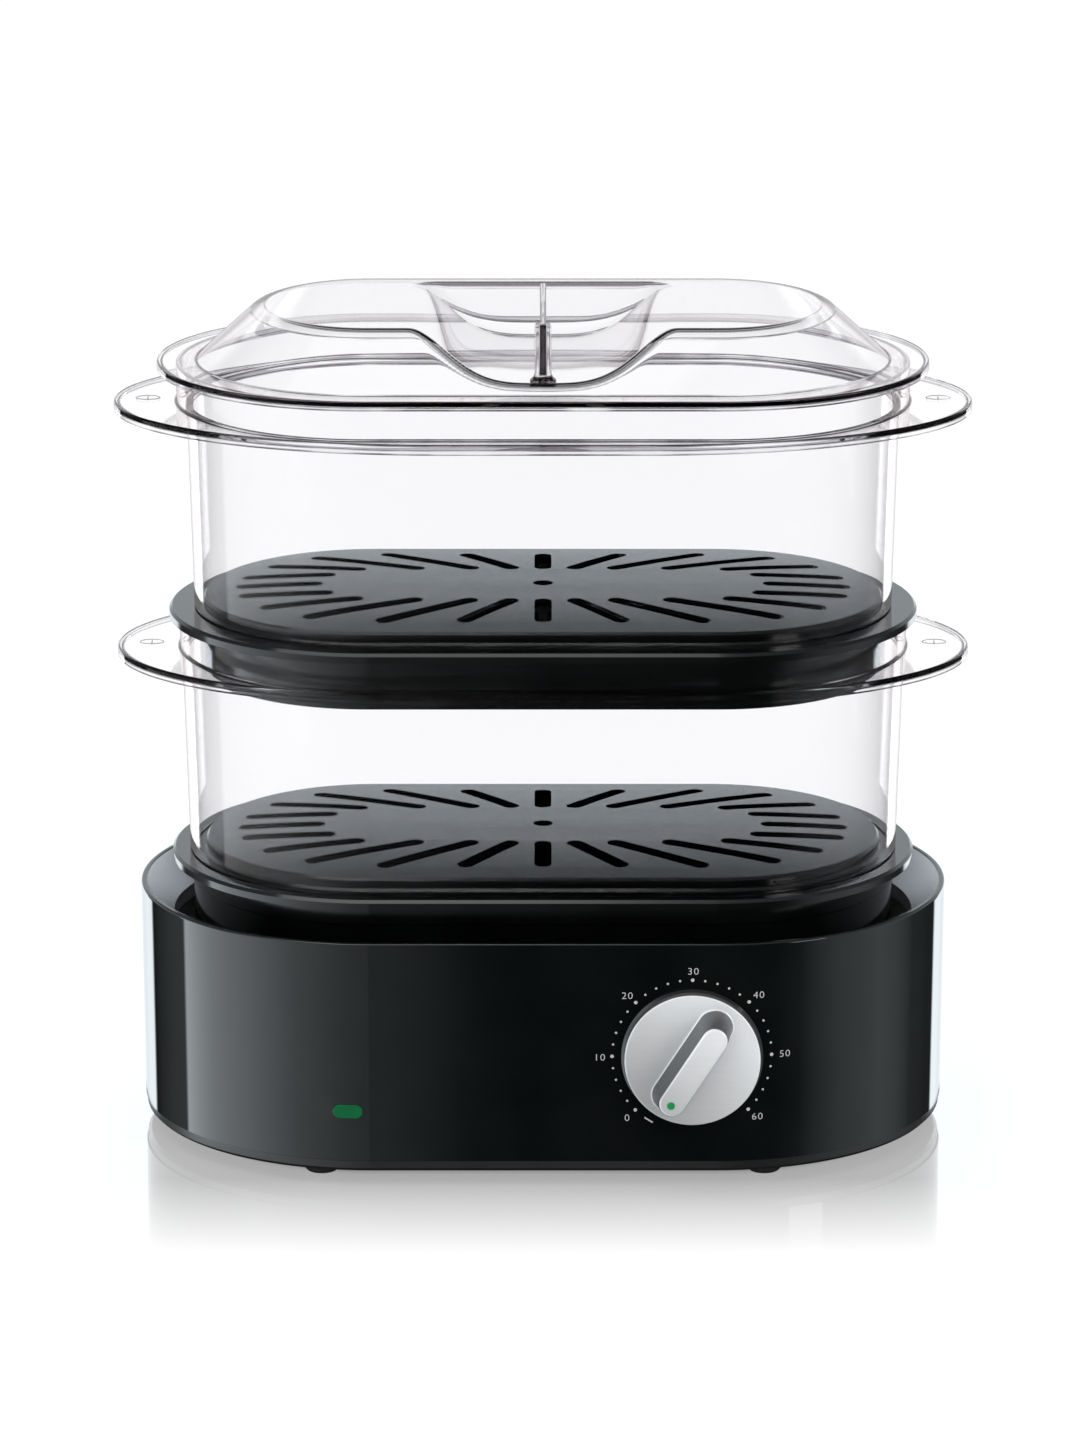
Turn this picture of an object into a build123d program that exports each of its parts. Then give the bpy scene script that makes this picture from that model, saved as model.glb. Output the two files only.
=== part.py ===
"""Two-tier electric food steamer with a lift-off lid, steaming baskets, slotted trays and a timer base.

Units are millimetres. +Z is up, +X is the steamer's right seen from its front, and the front faces -Y.
The origin lies on the table, under the middle of the oval. Every ring of the steamer follows one
racetrack outline: two straight sides joined by two half circles. A ring is therefore drawn once, as a
profile in (distance from the outline's spine, height), then spun round both ends and drawn along the sides.
"""

import os
from math import atan2, cos, degrees, radians, sin, sqrt

from build123d import *

# ---------------------------------------------------------------- driving dimensions

SPINE = 72.5  # half the length of the racetrack's straight sides
WALL = 2.5  # moulded wall of the black housing parts
CLEAR_WALL = 2.0  # wall of the clear baskets and lid
EDGE_ROUND = 0.8  # rounding of the clear flanges' top edges
SEAT_GAP = 0.3  # play between lift-off parts, and between loosely seated ones
FIT_GAP = 0.08  # radial play of pins and screws in their holes
TOUCH_GAP = 0.05  # left between faces that lie against each other

# levels of the base
FOOT_HEIGHT = 6.0
SEAM_HEIGHT = 11.0  # joint between the bottom cover and the housing
RIM_HEIGHT = 106.0  # top of the housing
FUNNEL_DROP = 14.0  # height of the sloping refill funnel
LEDGE_HEIGHT = RIM_HEIGHT - 26.0  # ledge round the tank's well
PAD_HEIGHT = 3.0  # pads on the ledge, which let refilled water run under the drip tray

# racetrack radii of the base, measured from the spine; each ring is set in from the one outside it
HOUSING_R = 99.3
HOUSING_FOOT_R = HOUSING_R - 0.7
FUNNEL_MOUTH_R = HOUSING_R - 2.5
FUNNEL_THROAT_R = FUNNEL_MOUTH_R - 11.5
LIP_HEIGHT = 6.0  # straight lip under the funnel
REFILL_GAP = 7.6  # water is poured in between the housing's throat and the drip tray

# water tank
TANK_SPINE = SPINE - 12.5
TANK_R = HOUSING_R - 37.3
TANK_Y = 15.0  # the tank sits behind the timer, so it is set back
TANK_FLOOR = 30.0
TANK_DRAFT = 2.0  # degrees

# trays and baskets
DRIP_BAND_R = FUNNEL_THROAT_R - REFILL_GAP
DRIP_WALL_R = DRIP_BAND_R - 1.1
DRIP_STEP_HEIGHT = RIM_HEIGHT + 2.0
CHIMNEY_R = 24.0
CHIMNEY_RISE = 15.0
TIER_PITCH = 106.0
FIRST_TIER = RIM_HEIGHT + 14.5  # top of the lower tray's rim
PLATE_R = DRIP_BAND_R - 6.7  # the tray's skirt hangs inside the drip tray
PLATE_RISE = 5.5  # edge of the slotted plate above the tray's rim
PLATE_CROWN = 3.0
PLATE_THICK = 3.6
TRAY_RIM_R = PLATE_R + 14.5
TRAY_RIM_THICK = 2.5
TRAY_BEAD = 4.0  # height of the turned-down edge of the rim
TRAY_SKIRT = 27.5  # depth of the skirt below the top of the rim
TRAY_WALL = 2.0

SLOT_WIDTH = 7.2  # sunk pocket of a steam slot
SLOT_DEPTH = 2.2
SLOT_OPENING = 3.8  # the part of the slot that goes through
SLOT_OUTER_R = PLATE_R - 13.5  # racetrack on which the slots' outer ends lie
SLOT_INNER_R = PLATE_R - 46.0
SLOT_INNER_SPINE = SPINE - 4.5
SLOT_OUTER_STATIONS = (0.0, 0.265, 0.53, 0.765, 0.908, 0.984, 1.0)  # share of the outline's half length
SLOT_INNER_STATIONS = (0.0, 0.125, 0.30, 0.545, 0.81, 0.946, 1.0)
CENTRE_HOLE_R = 4.2

FLANGE_LEVEL = 84.0  # underside of the handle flange above the basket's foot
FLANGE_THICK = 2.5
FLANGE_BEAD = 4.5
COLLAR_R = TRAY_RIM_R - 4.3  # the next tray's turned-down edge fits over the collar
COLLAR_HEIGHT = TIER_PITCH - TRAY_RIM_THICK  # top of the collar above the basket's foot
FLANGE_HALF_LENGTH = SPINE + COLLAR_R + 26.3
FLANGE_HALF_DEPTH = COLLAR_R + 5.8
FLANGE_SPINE = 43.0  # half the straight front edge of the handle flange
LOWER_BASKET_FOOT_R = COLLAR_R - 3.2
LOWER_BASKET_TOP_R = COLLAR_R - 0.9
UPPER_BASKET_FOOT_R = COLLAR_R - 6.4  # smaller than the lower one, so that the two nest
UPPER_BASKET_TOP_R = COLLAR_R - 4.3

# lid
LID_FLANGE_R = COLLAR_R + 3.3
LID_FLANGE_END = LID_FLANGE_R + 4.7  # reach of the flange's elliptical ends beyond the spine
LID_FLANGE_THICK = 2.4
LID_BEAD = 4.0
DOME_R = COLLAR_R - 5.7
DOME_RISE = 25.5  # plateau above the collar
PLATEAU_R = DOME_R - 22.5
PLATEAU_END = DOME_R - 28.1  # reach of the plateau's ends beyond the spine
DOME_EDGE_ROUND = 4.0
TROUGH_HALF_WIDTH = 55.0
TROUGH_DEPTH = 19.0
TROUGH_STATIONS = ((1.0, 0.0), (0.86, 0.14), (0.655, 0.542), (0.382, 0.91), (0.0, 1.0))  # width, depth
TROUGH_END_TOP = PLATEAU_R - 12.0  # the trough is open in front and ends in a slope behind
TROUGH_END_FOOT = PLATEAU_R - 29.0
TROUGH_END_ROUND = 12.0
TROUGH_END_SINK = 0.05  # the end's own floor passes this far below the trough's
RIB_THICK = 2.6
RIB_POST_WIDTH = 6.8
RIB_POST_LENGTH = 6.0
RIB_REACH_TOP = PLATEAU_R - 9.0
RIB_REACH_FOOT = DOME_R - 7.0

# front panel
KNOB_X = 62.0
KNOB_Z = LEDGE_HEIGHT - 22.9  # the timer just fits under the tank's ledge
KNOB_R = 28.4
KNOB_SKIRT_R = 29.5
KNOB_FACE = 5.8  # front rim of the silver cap in front of the panel
KNOB_GAP = 0.8  # running gap between skirt and panel
GRIP_HEIGHT = 16.0
GRIP_WIDTH = 11.0
GRIP_FOOT_WIDTH = 14.4
GRIP_HALF_LENGTH = 21.5
GRIP_TILT = 32.5  # degrees from straight down towards 0 at rest
POINTER_R = 1.6
POINTER_DEPTH = 0.8
POINTER_REACH = 17.0  # from the knob's axis to the dot
CAP_DEPTH = 4.0
CAP_WALL = 1.8
SHAFT_R = 3.0
SHAFT_FLAT = 1.8  # distance of the spindle's flat from its axis
HUB_R = 4.3
HUB_TOP = 6.2
LENS_ANGLE = 5.2  # degrees round the left end of the housing
LENS_Z = 32.7
LENS_LENGTH = 12.5
LENS_HEIGHT = 5.8

# heater
HEATER_R = 46.5
HEATER_PAN_R = 39.5
HEATER_HOLE_R = 40.0
HEATER_SHEET = 1.5
GASKET_THICK = 1.5
TUBE_RING_R = 28.0
TUBE_R = 4.0
TUBE_HALF_GAP = 18.0  # degrees between the ring's middle gap and each cold pin
PIN_LENGTH = 9.0
CLAMP_SCREW_R = 54.0
CLAMP_THICK = 2.0

# timer, fasteners and supply
TIMER_WIDTH = 40.0
TIMER_HEIGHT = 38.0
TIMER_DEPTH = 30.0
BRACKET_THICK = 1.2
BRACKET_HALF_HEIGHT = 15.0
BRACKET_EDGE = 5.0  # metal beyond each screw
BELL_R = 17.0
BELL_POST_R = 2.0
TIMER_SCREW_REACH = 25.0  # from the spindle to each bracket screw
TERMINAL_DEPTH = 20.0  # from the front of the case to its terminals
TERMINAL_THICK = 0.8
TERMINAL_REACH = 7.0
TERMINAL_OFFSET = 8.0  # of each terminal above or below the spindle
FOOT_X = SPINE + 20.5
FOOT_Y = HOUSING_R - 22.3
FOOT_R = 7.25
BOSS_R = 4.5
BOSS_REACH = HOUSING_FOOT_R - 10.6  # from the centre of the oval's round end
BOSS_ANGLE = 35.0
BOSS_TOP = LEDGE_HEIGHT - 10.0
SCREW_R = 1.5
SCREW_HEAD_R = 3.2
COVER_SCREW = 24.0
CLAMP_SCREW = 4.6
BRACKET_SCREW = 3.6
SCREW_SLACK = 0.3  # radial room of a screw in the part it clamps
HEAD_POCKET = 4.0  # depth of the cover's pockets for screw heads
TANK_POST_R = 5.0
TANK_POST_X = SPINE + HOUSING_R - 31.8
TANK_POST_FRONT = 27.3 - HOUSING_R
TANK_POSTS = [(-TANK_POST_X, 0), (TANK_POST_X, 0), (-30, TANK_POST_FRONT), (15, TANK_POST_FRONT)]
CORD_HOLE_R = 3.6
CORD_X = -50.0
CORD_Z = 24.0
BUSHING_R = 5.5
BUSHING_REACH = 9.0  # how far it grips the cord inside the wall
BUSHING_MOUTH_R = 4.9
BLOCK_X = -95.0  # terminal block
BLOCK_Y = 22.0
BLOCK_STEP = 10.0
WIRE_R = 1.2
WIRE_RUN = TANK_POST_FRONT + 8.0  # the run to the timer passes behind the tank's posts
LAMP_WIRE_TURN = TANK_POST_FRONT + 22.0
LAMP_WIRE_R = 0.9

# ---------------------------------------------------------------- derived levels

THROAT_HEIGHT = RIM_HEIGHT - FUNNEL_DROP
SECOND_TIER = FIRST_TIER + TIER_PITCH
COLLAR_TOP = SECOND_TIER + COLLAR_HEIGHT
DOME_TOP = COLLAR_TOP + DOME_RISE
DRIP_FLOOR = LEDGE_HEIGHT + PAD_HEIGHT
DRIP_TOP = FIRST_TIER - TRAY_RIM_THICK
COVER_FLOOR = FOOT_HEIGHT + WALL
BOSS_FOOT = SEAM_HEIGHT + 5
COVER_SCREW_HEIGHT = FOOT_HEIGHT + HEAD_POCKET - TOUCH_GAP  # underside of the screw heads' seat
HEATER_TOP = TANK_FLOOR + WALL
HEATER_UNDERSIDE = HEATER_TOP - HEATER_SHEET
HEATER_FLANGE = TANK_FLOOR - GASKET_THICK - HEATER_SHEET  # underside of the plate's flange
CLAMP_TOP = HEATER_FLANGE - 0.2
TUBE_Z = HEATER_UNDERSIDE - TUBE_R - TOUCH_GAP

# ---------------------------------------------------------------- building blocks


def racetrack(spine, radius):
    """Flat racetrack: straight sides of twice the spine, closed by half circles."""
    return SlotCenterToCenter(2 * spine, 2 * radius)


def oval(spine, end, depth):
    """Flat outline like a racetrack, with ends that are half ellipses."""
    ends = [Pos(side * spine, 0) * Ellipse(end, depth) for side in (-1, 1)]
    return Rectangle(2 * spine, 2 * depth) + ends


def ring(profile, spine=SPINE):
    """Carry a profile face, drawn as (distance from the spine, height), round the racetrack."""
    front = Rot(0, 0, -90) * (Plane.XZ * profile)
    right = Pos(spine, 0, 0) * revolve(front, Axis.Z, 180)
    straight = extrude(Pos(-spine, 0, 0) * front, amount=2 * spine, dir=(1, 0, 0))
    half = right + straight
    return half + Rot(0, 0, 180) * half


def outline(*points):
    """Closed face through the given corner points."""
    return make_face(Polyline(*points, close=True))


def slab(face, low, high):
    """Flat outline drawn up from one level to another."""
    return extrude(Pos(0, 0, low) * face, amount=high - low)


def rod(radius, low, high, x=0.0, y=0.0):
    """Upright cylinder between two levels."""
    return Pos(x, y, low) * Cylinder(radius, high - low, align=(Align.CENTER, Align.CENTER, Align.MIN))


def rod_y(radius, front, back, x, z):
    """Cylinder that points from front to back."""
    body = Cylinder(radius, back - front, align=(Align.CENTER, Align.CENTER, Align.MIN))
    return Pos(x, front, z) * Rot(-90, 0, 0) * body


def block(low, high):
    """Box between two corners."""
    size = [b - a for a, b in zip(low, high)]
    return Pos(*low) * Box(*size, align=(Align.MIN, Align.MIN, Align.MIN))


def housing_radius(z):
    """Outer radius of the tapered housing at a height."""
    share = (z - SEAM_HEIGHT) / (RIM_HEIGHT - SEAM_HEIGHT)
    return HOUSING_FOOT_R + (HOUSING_R - HOUSING_FOOT_R) * share


def front_wall(x, z):
    """How far forward the housing's outer face lies at a place of the front."""
    past = max(abs(x) - SPINE, 0.0)
    return -sqrt(housing_radius(z) ** 2 - past**2)


def mirrored_quarters(x, y):
    """The four places of a fastener or foot that repeats in each quarter."""
    return [(sx * x, sy * y) for sx in (-1, 1) for sy in (-1, 1)]


BOSS_PLACES = mirrored_quarters(
    SPINE + BOSS_REACH * cos(radians(BOSS_ANGLE)), BOSS_REACH * sin(radians(BOSS_ANGLE))
)
CLAMP_PLACES = [
    (CLAMP_SCREW_R * cos(radians(a)), TANK_Y + CLAMP_SCREW_R * sin(radians(a))) for a in (45, 135, 225, 315)
]
PAD_FRONT = 14.6 - DRIP_WALL_R
PAD_PLACES = mirrored_quarters(SPINE + DRIP_WALL_R - 13.1, 25) + [(-45, PAD_FRONT), (45, PAD_FRONT)]
TIMER_FRONT = front_wall(KNOB_X, KNOB_Z) + WALL + 2.4  # front of the timer's bracket
CASE_FRONT = TIMER_FRONT + BRACKET_THICK + TOUCH_GAP
CASE_BACK = CASE_FRONT + TIMER_DEPTH
TIMER_SCREWS = [(KNOB_X + side * TIMER_SCREW_REACH, KNOB_Z) for side in (-1, 1)]

# ---------------------------------------------------------------- base


def base_housing():
    """Outer shell: tapered wall, rounded rim, refill funnel with a straight lip, screw bosses inside."""
    slope = FUNNEL_MOUTH_R - FUNNEL_THROAT_R
    steep = WALL * sqrt(1 + (slope / FUNNEL_DROP) ** 2)
    profile = outline(
        (HOUSING_FOOT_R, SEAM_HEIGHT),
        (HOUSING_R, RIM_HEIGHT),
        (FUNNEL_MOUTH_R, RIM_HEIGHT),
        (FUNNEL_THROAT_R, THROAT_HEIGHT),
        (FUNNEL_THROAT_R, THROAT_HEIGHT - LIP_HEIGHT),
        (FUNNEL_THROAT_R + WALL, THROAT_HEIGHT - LIP_HEIGHT),
        (FUNNEL_THROAT_R + WALL, THROAT_HEIGHT - WALL / 3),
        (HOUSING_R - WALL, RIM_HEIGHT - steep),
        (HOUSING_FOOT_R - WALL, SEAM_HEIGHT),
    )
    rim = [v for v in profile.vertices() if abs(v.Y - RIM_HEIGHT) < 1e-6]
    shell = ring(fillet(rim, radius=1.1))
    for x, y in BOSS_PLACES:
        end_x = SPINE if x > 0 else -SPINE
        angle = degrees(atan2(y, x - end_x))
        reach = HOUSING_FOOT_R - WALL / 2 - BOSS_REACH
        web = Pos(x, y, 0) * Rot(0, 0, angle) * block((0, -1, BOSS_FOOT), (reach, 1, BOSS_TOP - 4))
        boss = rod(BOSS_R, BOSS_FOOT, BOSS_TOP, x, y)
        shell += (boss + web) - rod(SCREW_R + FIT_GAP, 0, COVER_SCREW_HEIGHT + COVER_SCREW + 5, x, y)
    for x, z in TIMER_SCREWS:
        shell += rod_y(BOSS_R, front_wall(x, z) + WALL * 0.8, TIMER_FRONT, x, z)
        shell -= rod_y(SCREW_R + FIT_GAP, TIMER_FRONT - 3, TIMER_FRONT + 1, x, z)
    shell -= rod_y(SHAFT_R + 1.5, -HOUSING_R - 1, TIMER_FRONT + 1, KNOB_X, KNOB_Z)
    shell -= lens_prism(LENS_LENGTH + 2 * FIT_GAP, LENS_HEIGHT + 2 * FIT_GAP, -4, 2)
    shell -= rod_y(BUSHING_R + 0.1, HOUSING_R - 10, HOUSING_R + 1, CORD_X, CORD_Z)
    return shell


def base_cover():
    """Bottom cover: the band under the seam, a lip that locates in the housing, posts under the tank."""
    outer = HOUSING_FOOT_R - 0.6
    lip = HOUSING_FOOT_R - WALL - SEAT_GAP
    profile = outline(
        (0, FOOT_HEIGHT),
        (outer - 1.5, FOOT_HEIGHT),
        (outer, FOOT_HEIGHT + 1.5),
        (outer, SEAM_HEIGHT - SEAT_GAP),
        (lip, SEAM_HEIGHT - SEAT_GAP),
        (lip, SEAM_HEIGHT + 3),
        (lip - 1.8, SEAM_HEIGHT + 3),
        (lip - 1.8, COVER_FLOOR),
        (0, COVER_FLOOR),
    )
    cover = ring(profile)
    for x, y in BOSS_PLACES:
        cover += rod(BOSS_R + 1, FOOT_HEIGHT, BOSS_FOOT - SEAT_GAP, x, y)
        cover -= rod(SCREW_HEAD_R + 0.6, 0, FOOT_HEIGHT + HEAD_POCKET, x, y)
        cover -= rod(SCREW_R + SCREW_SLACK, 0, BOSS_FOOT, x, y)
    for x, y in TANK_POSTS:
        cover += rod(TANK_POST_R, FOOT_HEIGHT + 1, LEDGE_HEIGHT - WALL - SEAT_GAP, x, y)
    for x, y in mirrored_quarters(FOOT_X, FOOT_Y):
        cover -= rod(FOOT_R + 0.5, 0, FOOT_HEIGHT + 0.8, x, y)
        cover -= rod(3.0, 0, COVER_FLOOR + 1, x, y)
    return cover


def feet():
    """Four push-in rubber feet: pad, neck through the cover, retaining head."""
    profile = outline(
        (0, 0),
        (FOOT_R - 1, 0),
        (FOOT_R, 1),
        (FOOT_R, FOOT_HEIGHT + 0.7),
        (2.9, FOOT_HEIGHT + 0.7),
        (2.9, COVER_FLOOR + 0.1),
        (4.2, COVER_FLOOR + 0.1),
        (2.6, COVER_FLOOR + 3),
        (0, COVER_FLOOR + 3),
    )
    foot = revolve(Plane.XZ * profile, Axis.Z, 360)
    return Compound([Pos(x, y, 0) * foot for x, y in mirrored_quarters(FOOT_X, FOOT_Y)])


def screw(length, head=SCREW_HEAD_R, head_height=2.2):
    """Pan-head screw, head down, shank up from the origin."""
    head_solid = rod(head, -head_height, 0)
    head_solid = fillet(head_solid.edges().group_by(Axis.Z)[0], 0.8)
    return head_solid + rod(SCREW_R, -0.5, length)


def cover_screws():
    """Screws that pull the bottom cover against the housing's bosses."""
    fastener = screw(COVER_SCREW)
    return Compound([Pos(x, y, COVER_SCREW_HEIGHT) * fastener for x, y in BOSS_PLACES])


def water_tank():
    """Reservoir: wide throat that takes the drip tray, ledge with pads, and a deep drafted well."""
    throat_r = FUNNEL_THROAT_R + WALL + SEAT_GAP
    top = THROAT_HEIGHT - 1.2
    body = slab(racetrack(SPINE, throat_r + WALL), LEDGE_HEIGHT - WALL, top)
    well = Pos(0, TANK_Y, LEDGE_HEIGHT - WALL) * racetrack(TANK_SPINE, TANK_R)
    body += extrude(well, amount=-(LEDGE_HEIGHT - WALL - TANK_FLOOR), taper=TANK_DRAFT)
    body -= slab(racetrack(SPINE, throat_r), LEDGE_HEIGHT, top + 1)
    hollow = Pos(0, TANK_Y, LEDGE_HEIGHT) * racetrack(TANK_SPINE, TANK_R - WALL)
    body -= extrude(hollow, amount=-(LEDGE_HEIGHT - HEATER_TOP), taper=TANK_DRAFT)
    for x, y in PAD_PLACES:
        body += block((x - 7, y - 4, LEDGE_HEIGHT - 1), (x + 7, y + 4, DRIP_FLOOR - TOUCH_GAP))
    body -= rod(HEATER_HOLE_R, TANK_FLOOR - 1, HEATER_TOP + 1, 0, TANK_Y)
    for x, y in CLAMP_PLACES:
        body += rod(4, CLAMP_TOP + TOUCH_GAP, TANK_FLOOR + 1, x, y)
        body -= rod(SCREW_R + FIT_GAP, CLAMP_TOP, TANK_FLOOR + 0.5, x, y)
    return body


# ---------------------------------------------------------------- heater


def heater_plate():
    """Dished steel plate that closes the tank's floor."""
    inner = HEATER_PAN_R - HEATER_SHEET
    profile = outline(
        (0, HEATER_UNDERSIDE),
        (inner, HEATER_UNDERSIDE),
        (inner, HEATER_FLANGE),
        (HEATER_R, HEATER_FLANGE),
        (HEATER_R, HEATER_FLANGE + HEATER_SHEET),
        (HEATER_PAN_R, HEATER_FLANGE + HEATER_SHEET),
        (HEATER_PAN_R, HEATER_TOP - 1),
        (HEATER_PAN_R - 1, HEATER_TOP),
        (0, HEATER_TOP),
    )
    return Pos(0, TANK_Y, 0) * revolve(Plane.XZ * profile, Axis.Z, 360)


def heater_gasket():
    """Silicone ring squeezed between the plate's flange and the tank."""
    flat = Circle(HEATER_R) - Circle(HEATER_HOLE_R + SEAT_GAP)
    return slab(Pos(0, TANK_Y) * flat, TANK_FLOOR - GASKET_THICK, TANK_FLOOR)


def heater_tube():
    """Tubular element, bent to an open ring under the plate, with its two cold pins turned down."""
    section = Plane.XZ * (Pos(TUBE_RING_R, TUBE_Z) * Circle(TUBE_R))
    tube = Rot(0, 0, -90 + TUBE_HALF_GAP) * revolve(section, Axis.Z, 360 - 2 * TUBE_HALF_GAP)
    for side in (-1, 1):
        angle = radians(-90 + side * TUBE_HALF_GAP)
        x, y = TUBE_RING_R * cos(angle), TUBE_RING_R * sin(angle)
        tube += Pos(x, y, TUBE_Z) * Sphere(TUBE_R)
        tube += rod(2.2, TUBE_Z - PIN_LENGTH, TUBE_Z, x, y)
    return Pos(0, TANK_Y, 0) * tube


def heater_clamp():
    """Pressed steel ring with four ears that squeezes the plate against the gasket."""
    flat = Circle(HEATER_R) - Circle(HEATER_PAN_R + 1)
    for angle in (45, 135):
        bar = Rot(0, 0, angle) * racetrack(CLAMP_SCREW_R, 5)
        flat += bar - Circle(HEATER_PAN_R + 1)
    for x, y in CLAMP_PLACES:
        flat -= Pos(x, y - TANK_Y) * Circle(SCREW_R + SCREW_SLACK)
    return slab(Pos(0, TANK_Y) * flat, CLAMP_TOP - CLAMP_THICK, CLAMP_TOP)


def heater_screws():
    """Screws of the clamp ring."""
    fastener = screw(CLAMP_SCREW)
    under = CLAMP_TOP - CLAMP_THICK - TOUCH_GAP
    return Compound([Pos(x, y, under) * fastener for x, y in CLAMP_PLACES])


def thermostat():
    """Boil-dry cut-out: disc body against the plate, with two spade terminals."""
    top = HEATER_UNDERSIDE - TOUCH_GAP
    body = rod(8, top - 6, top, 0, TANK_Y) + rod(5.5, top - 9, top - 6, 0, TANK_Y)
    for side in (-1, 1):
        x = side * 5 - 0.4
        body += block((x, TANK_Y - 2, top - 15), (x + 0.8, TANK_Y + 2, top - 8))
    return body


def thermal_fuse():
    """One-shot fuse lying against the plate."""
    x, z = -15, HEATER_UNDERSIDE - TOUCH_GAP - 2.2
    return rod_y(2.2, TANK_Y - 6, TANK_Y + 6, x, z) + rod_y(0.6, TANK_Y - 10, TANK_Y + 10, x, z)


# ---------------------------------------------------------------- timer, knob and lamp


def timer_bracket():
    """Steel plate that carries the timer behind the front wall."""
    low_x, high_x = (place[0] for place in TIMER_SCREWS)
    plate = block(
        (low_x - BRACKET_EDGE, TIMER_FRONT + TOUCH_GAP, KNOB_Z - BRACKET_HALF_HEIGHT),
        (high_x + BRACKET_EDGE, TIMER_FRONT + BRACKET_THICK, KNOB_Z + BRACKET_HALF_HEIGHT),
    )
    plate = fillet(plate.edges().filter_by(Axis.Y), 3)
    plate -= rod_y(SHAFT_R + 1, TIMER_FRONT - 1, TIMER_FRONT + 3, KNOB_X, KNOB_Z)
    for x, z in TIMER_SCREWS:
        plate -= rod_y(SCREW_R + SCREW_SLACK, TIMER_FRONT - 1, TIMER_FRONT + 3, x, z)
    return plate


def timer_case():
    """Clockwork timer: rounded case with two terminals and a post for the bell."""
    left = KNOB_X - TIMER_WIDTH / 2
    case = block(
        (left, CASE_FRONT, KNOB_Z - TIMER_HEIGHT / 2),
        (left + TIMER_WIDTH, CASE_BACK, KNOB_Z + TIMER_HEIGHT / 2),
    )
    case = fillet(case.edges().filter_by(Axis.Y), 5)
    case -= rod_y(SHAFT_R + FIT_GAP, CASE_FRONT - 1, CASE_BACK - 4, KNOB_X, KNOB_Z)
    case += rod_y(BELL_POST_R, CASE_BACK - 1, CASE_BACK + 6, KNOB_X, KNOB_Z)
    front = CASE_FRONT + TERMINAL_DEPTH
    for z in (KNOB_Z - TERMINAL_OFFSET, KNOB_Z + TERMINAL_OFFSET):
        case += block((left - TERMINAL_REACH, front, z - 2.5), (left + 1, front + TERMINAL_THICK, z + 2.5))
    return case


def timer_screws():
    """Two screws that fix the bracket to the housing's pillars."""
    fastener = Rot(90, 0, 0) * screw(BRACKET_SCREW, head_height=1.8)
    return Compound([Pos(x, CASE_FRONT, z) * fastener for x, z in TIMER_SCREWS])


def timer_bell():
    """Pressed steel gong on the back of the timer."""
    hole = BELL_POST_R + FIT_GAP
    brim = BELL_R - 3
    section = outline((hole, 4), (brim, 4), (BELL_R, 0.4), (BELL_R, 1.6), (brim + 0.6, 5.2), (hole, 5.2))
    bell = revolve(Plane.XZ * section, Axis.Z, 360)
    return Pos(KNOB_X, CASE_BACK, KNOB_Z) * Rot(-90, 0, 0) * bell


def grip_frame():
    """Frame of the knob: origin on the axis in the cap's front plane, local z towards the user."""
    y = front_wall(KNOB_X, KNOB_Z) - KNOB_FACE
    return Pos(KNOB_X, y, KNOB_Z) * Rot(90, 0, 0) * Rot(0, 0, -GRIP_TILT)


def grip(inset):
    """Drafted grip bar of the knob, shrunk by an inset."""
    long = GRIP_HALF_LENGTH - GRIP_WIDTH / 2
    foot = racetrack(long + 1.5, GRIP_FOOT_WIDTH / 2 - inset)
    top = Pos(0, 0, GRIP_HEIGHT - inset) * racetrack(long, GRIP_WIDTH / 2 - inset)
    return Rot(0, 0, 90) * loft([foot, top], ruled=True)


def knob_cap():
    """Silver cap: shallow dished disc with a grip bar across it, hollow behind."""
    disc = Cylinder(KNOB_R, CAP_DEPTH, align=(Align.CENTER, Align.CENTER, Align.MAX))
    disc = fillet(disc.edges().group_by(Axis.Z)[-1], 0.8)
    bar = grip(0)
    bar = fillet(bar.edges().group_by(Axis.Z)[-1], 1.2)
    cap = disc + bar
    foot_edges = [e for e in cap.edges() if abs(e.center().Z) < 0.01 and e.length < 70]
    cap = fillet(foot_edges, 1.0)
    cap -= rod(KNOB_R - CAP_WALL, -2 * CAP_DEPTH, -CAP_WALL + 0.2)
    cap -= Pos(0, 0, -2) * grip(CAP_WALL)
    cap -= rod(POINTER_R + TOUCH_GAP, GRIP_HEIGHT - POINTER_DEPTH, GRIP_HEIGHT + 1, 0, -POINTER_REACH)
    return grip_frame() * cap


def knob_pointer():
    """Inlaid dot at the pointing end of the grip."""
    return grip_frame() * rod(POINTER_R, GRIP_HEIGHT - POINTER_DEPTH, GRIP_HEIGHT + 0.1, 0, -POINTER_REACH)


def shaft_face(play):
    """D-shaped section of the timer's spindle, with a play all round."""
    return Circle(SHAFT_R + play) - Pos(0, SHAFT_FLAT + play + SHAFT_R) * Rectangle(4 * SHAFT_R, 2 * SHAFT_R)


def timer_shaft():
    """Spindle of the timer: round in the case, with a flat where the knob sits."""
    tip = slab(shaft_face(0), -KNOB_FACE, HUB_TOP - 1.2)
    return grip_frame() * tip + rod_y(SHAFT_R, front_wall(KNOB_X, KNOB_Z), CASE_BACK - 5, KNOB_X, KNOB_Z)


def knob_core():
    """Black core of the knob: skirt ring, web and hub on the timer's shaft."""
    seat = -CAP_DEPTH - 0.1
    web = KNOB_R - CAP_WALL - 0.2
    profile = outline(
        (0, KNOB_GAP - KNOB_FACE),
        (KNOB_SKIRT_R, KNOB_GAP - KNOB_FACE),
        (KNOB_R - 0.1, seat),
        (web, seat),
        (web, -CAP_WALL),
        (HUB_R, -CAP_WALL),
        (HUB_R, HUB_TOP),
        (0, HUB_TOP),
    )
    core = revolve(Plane.XZ * profile, Axis.Z, 360)
    return grip_frame() * (core - slab(shaft_face(FIT_GAP), -KNOB_FACE, HUB_TOP - 1.1))


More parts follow.
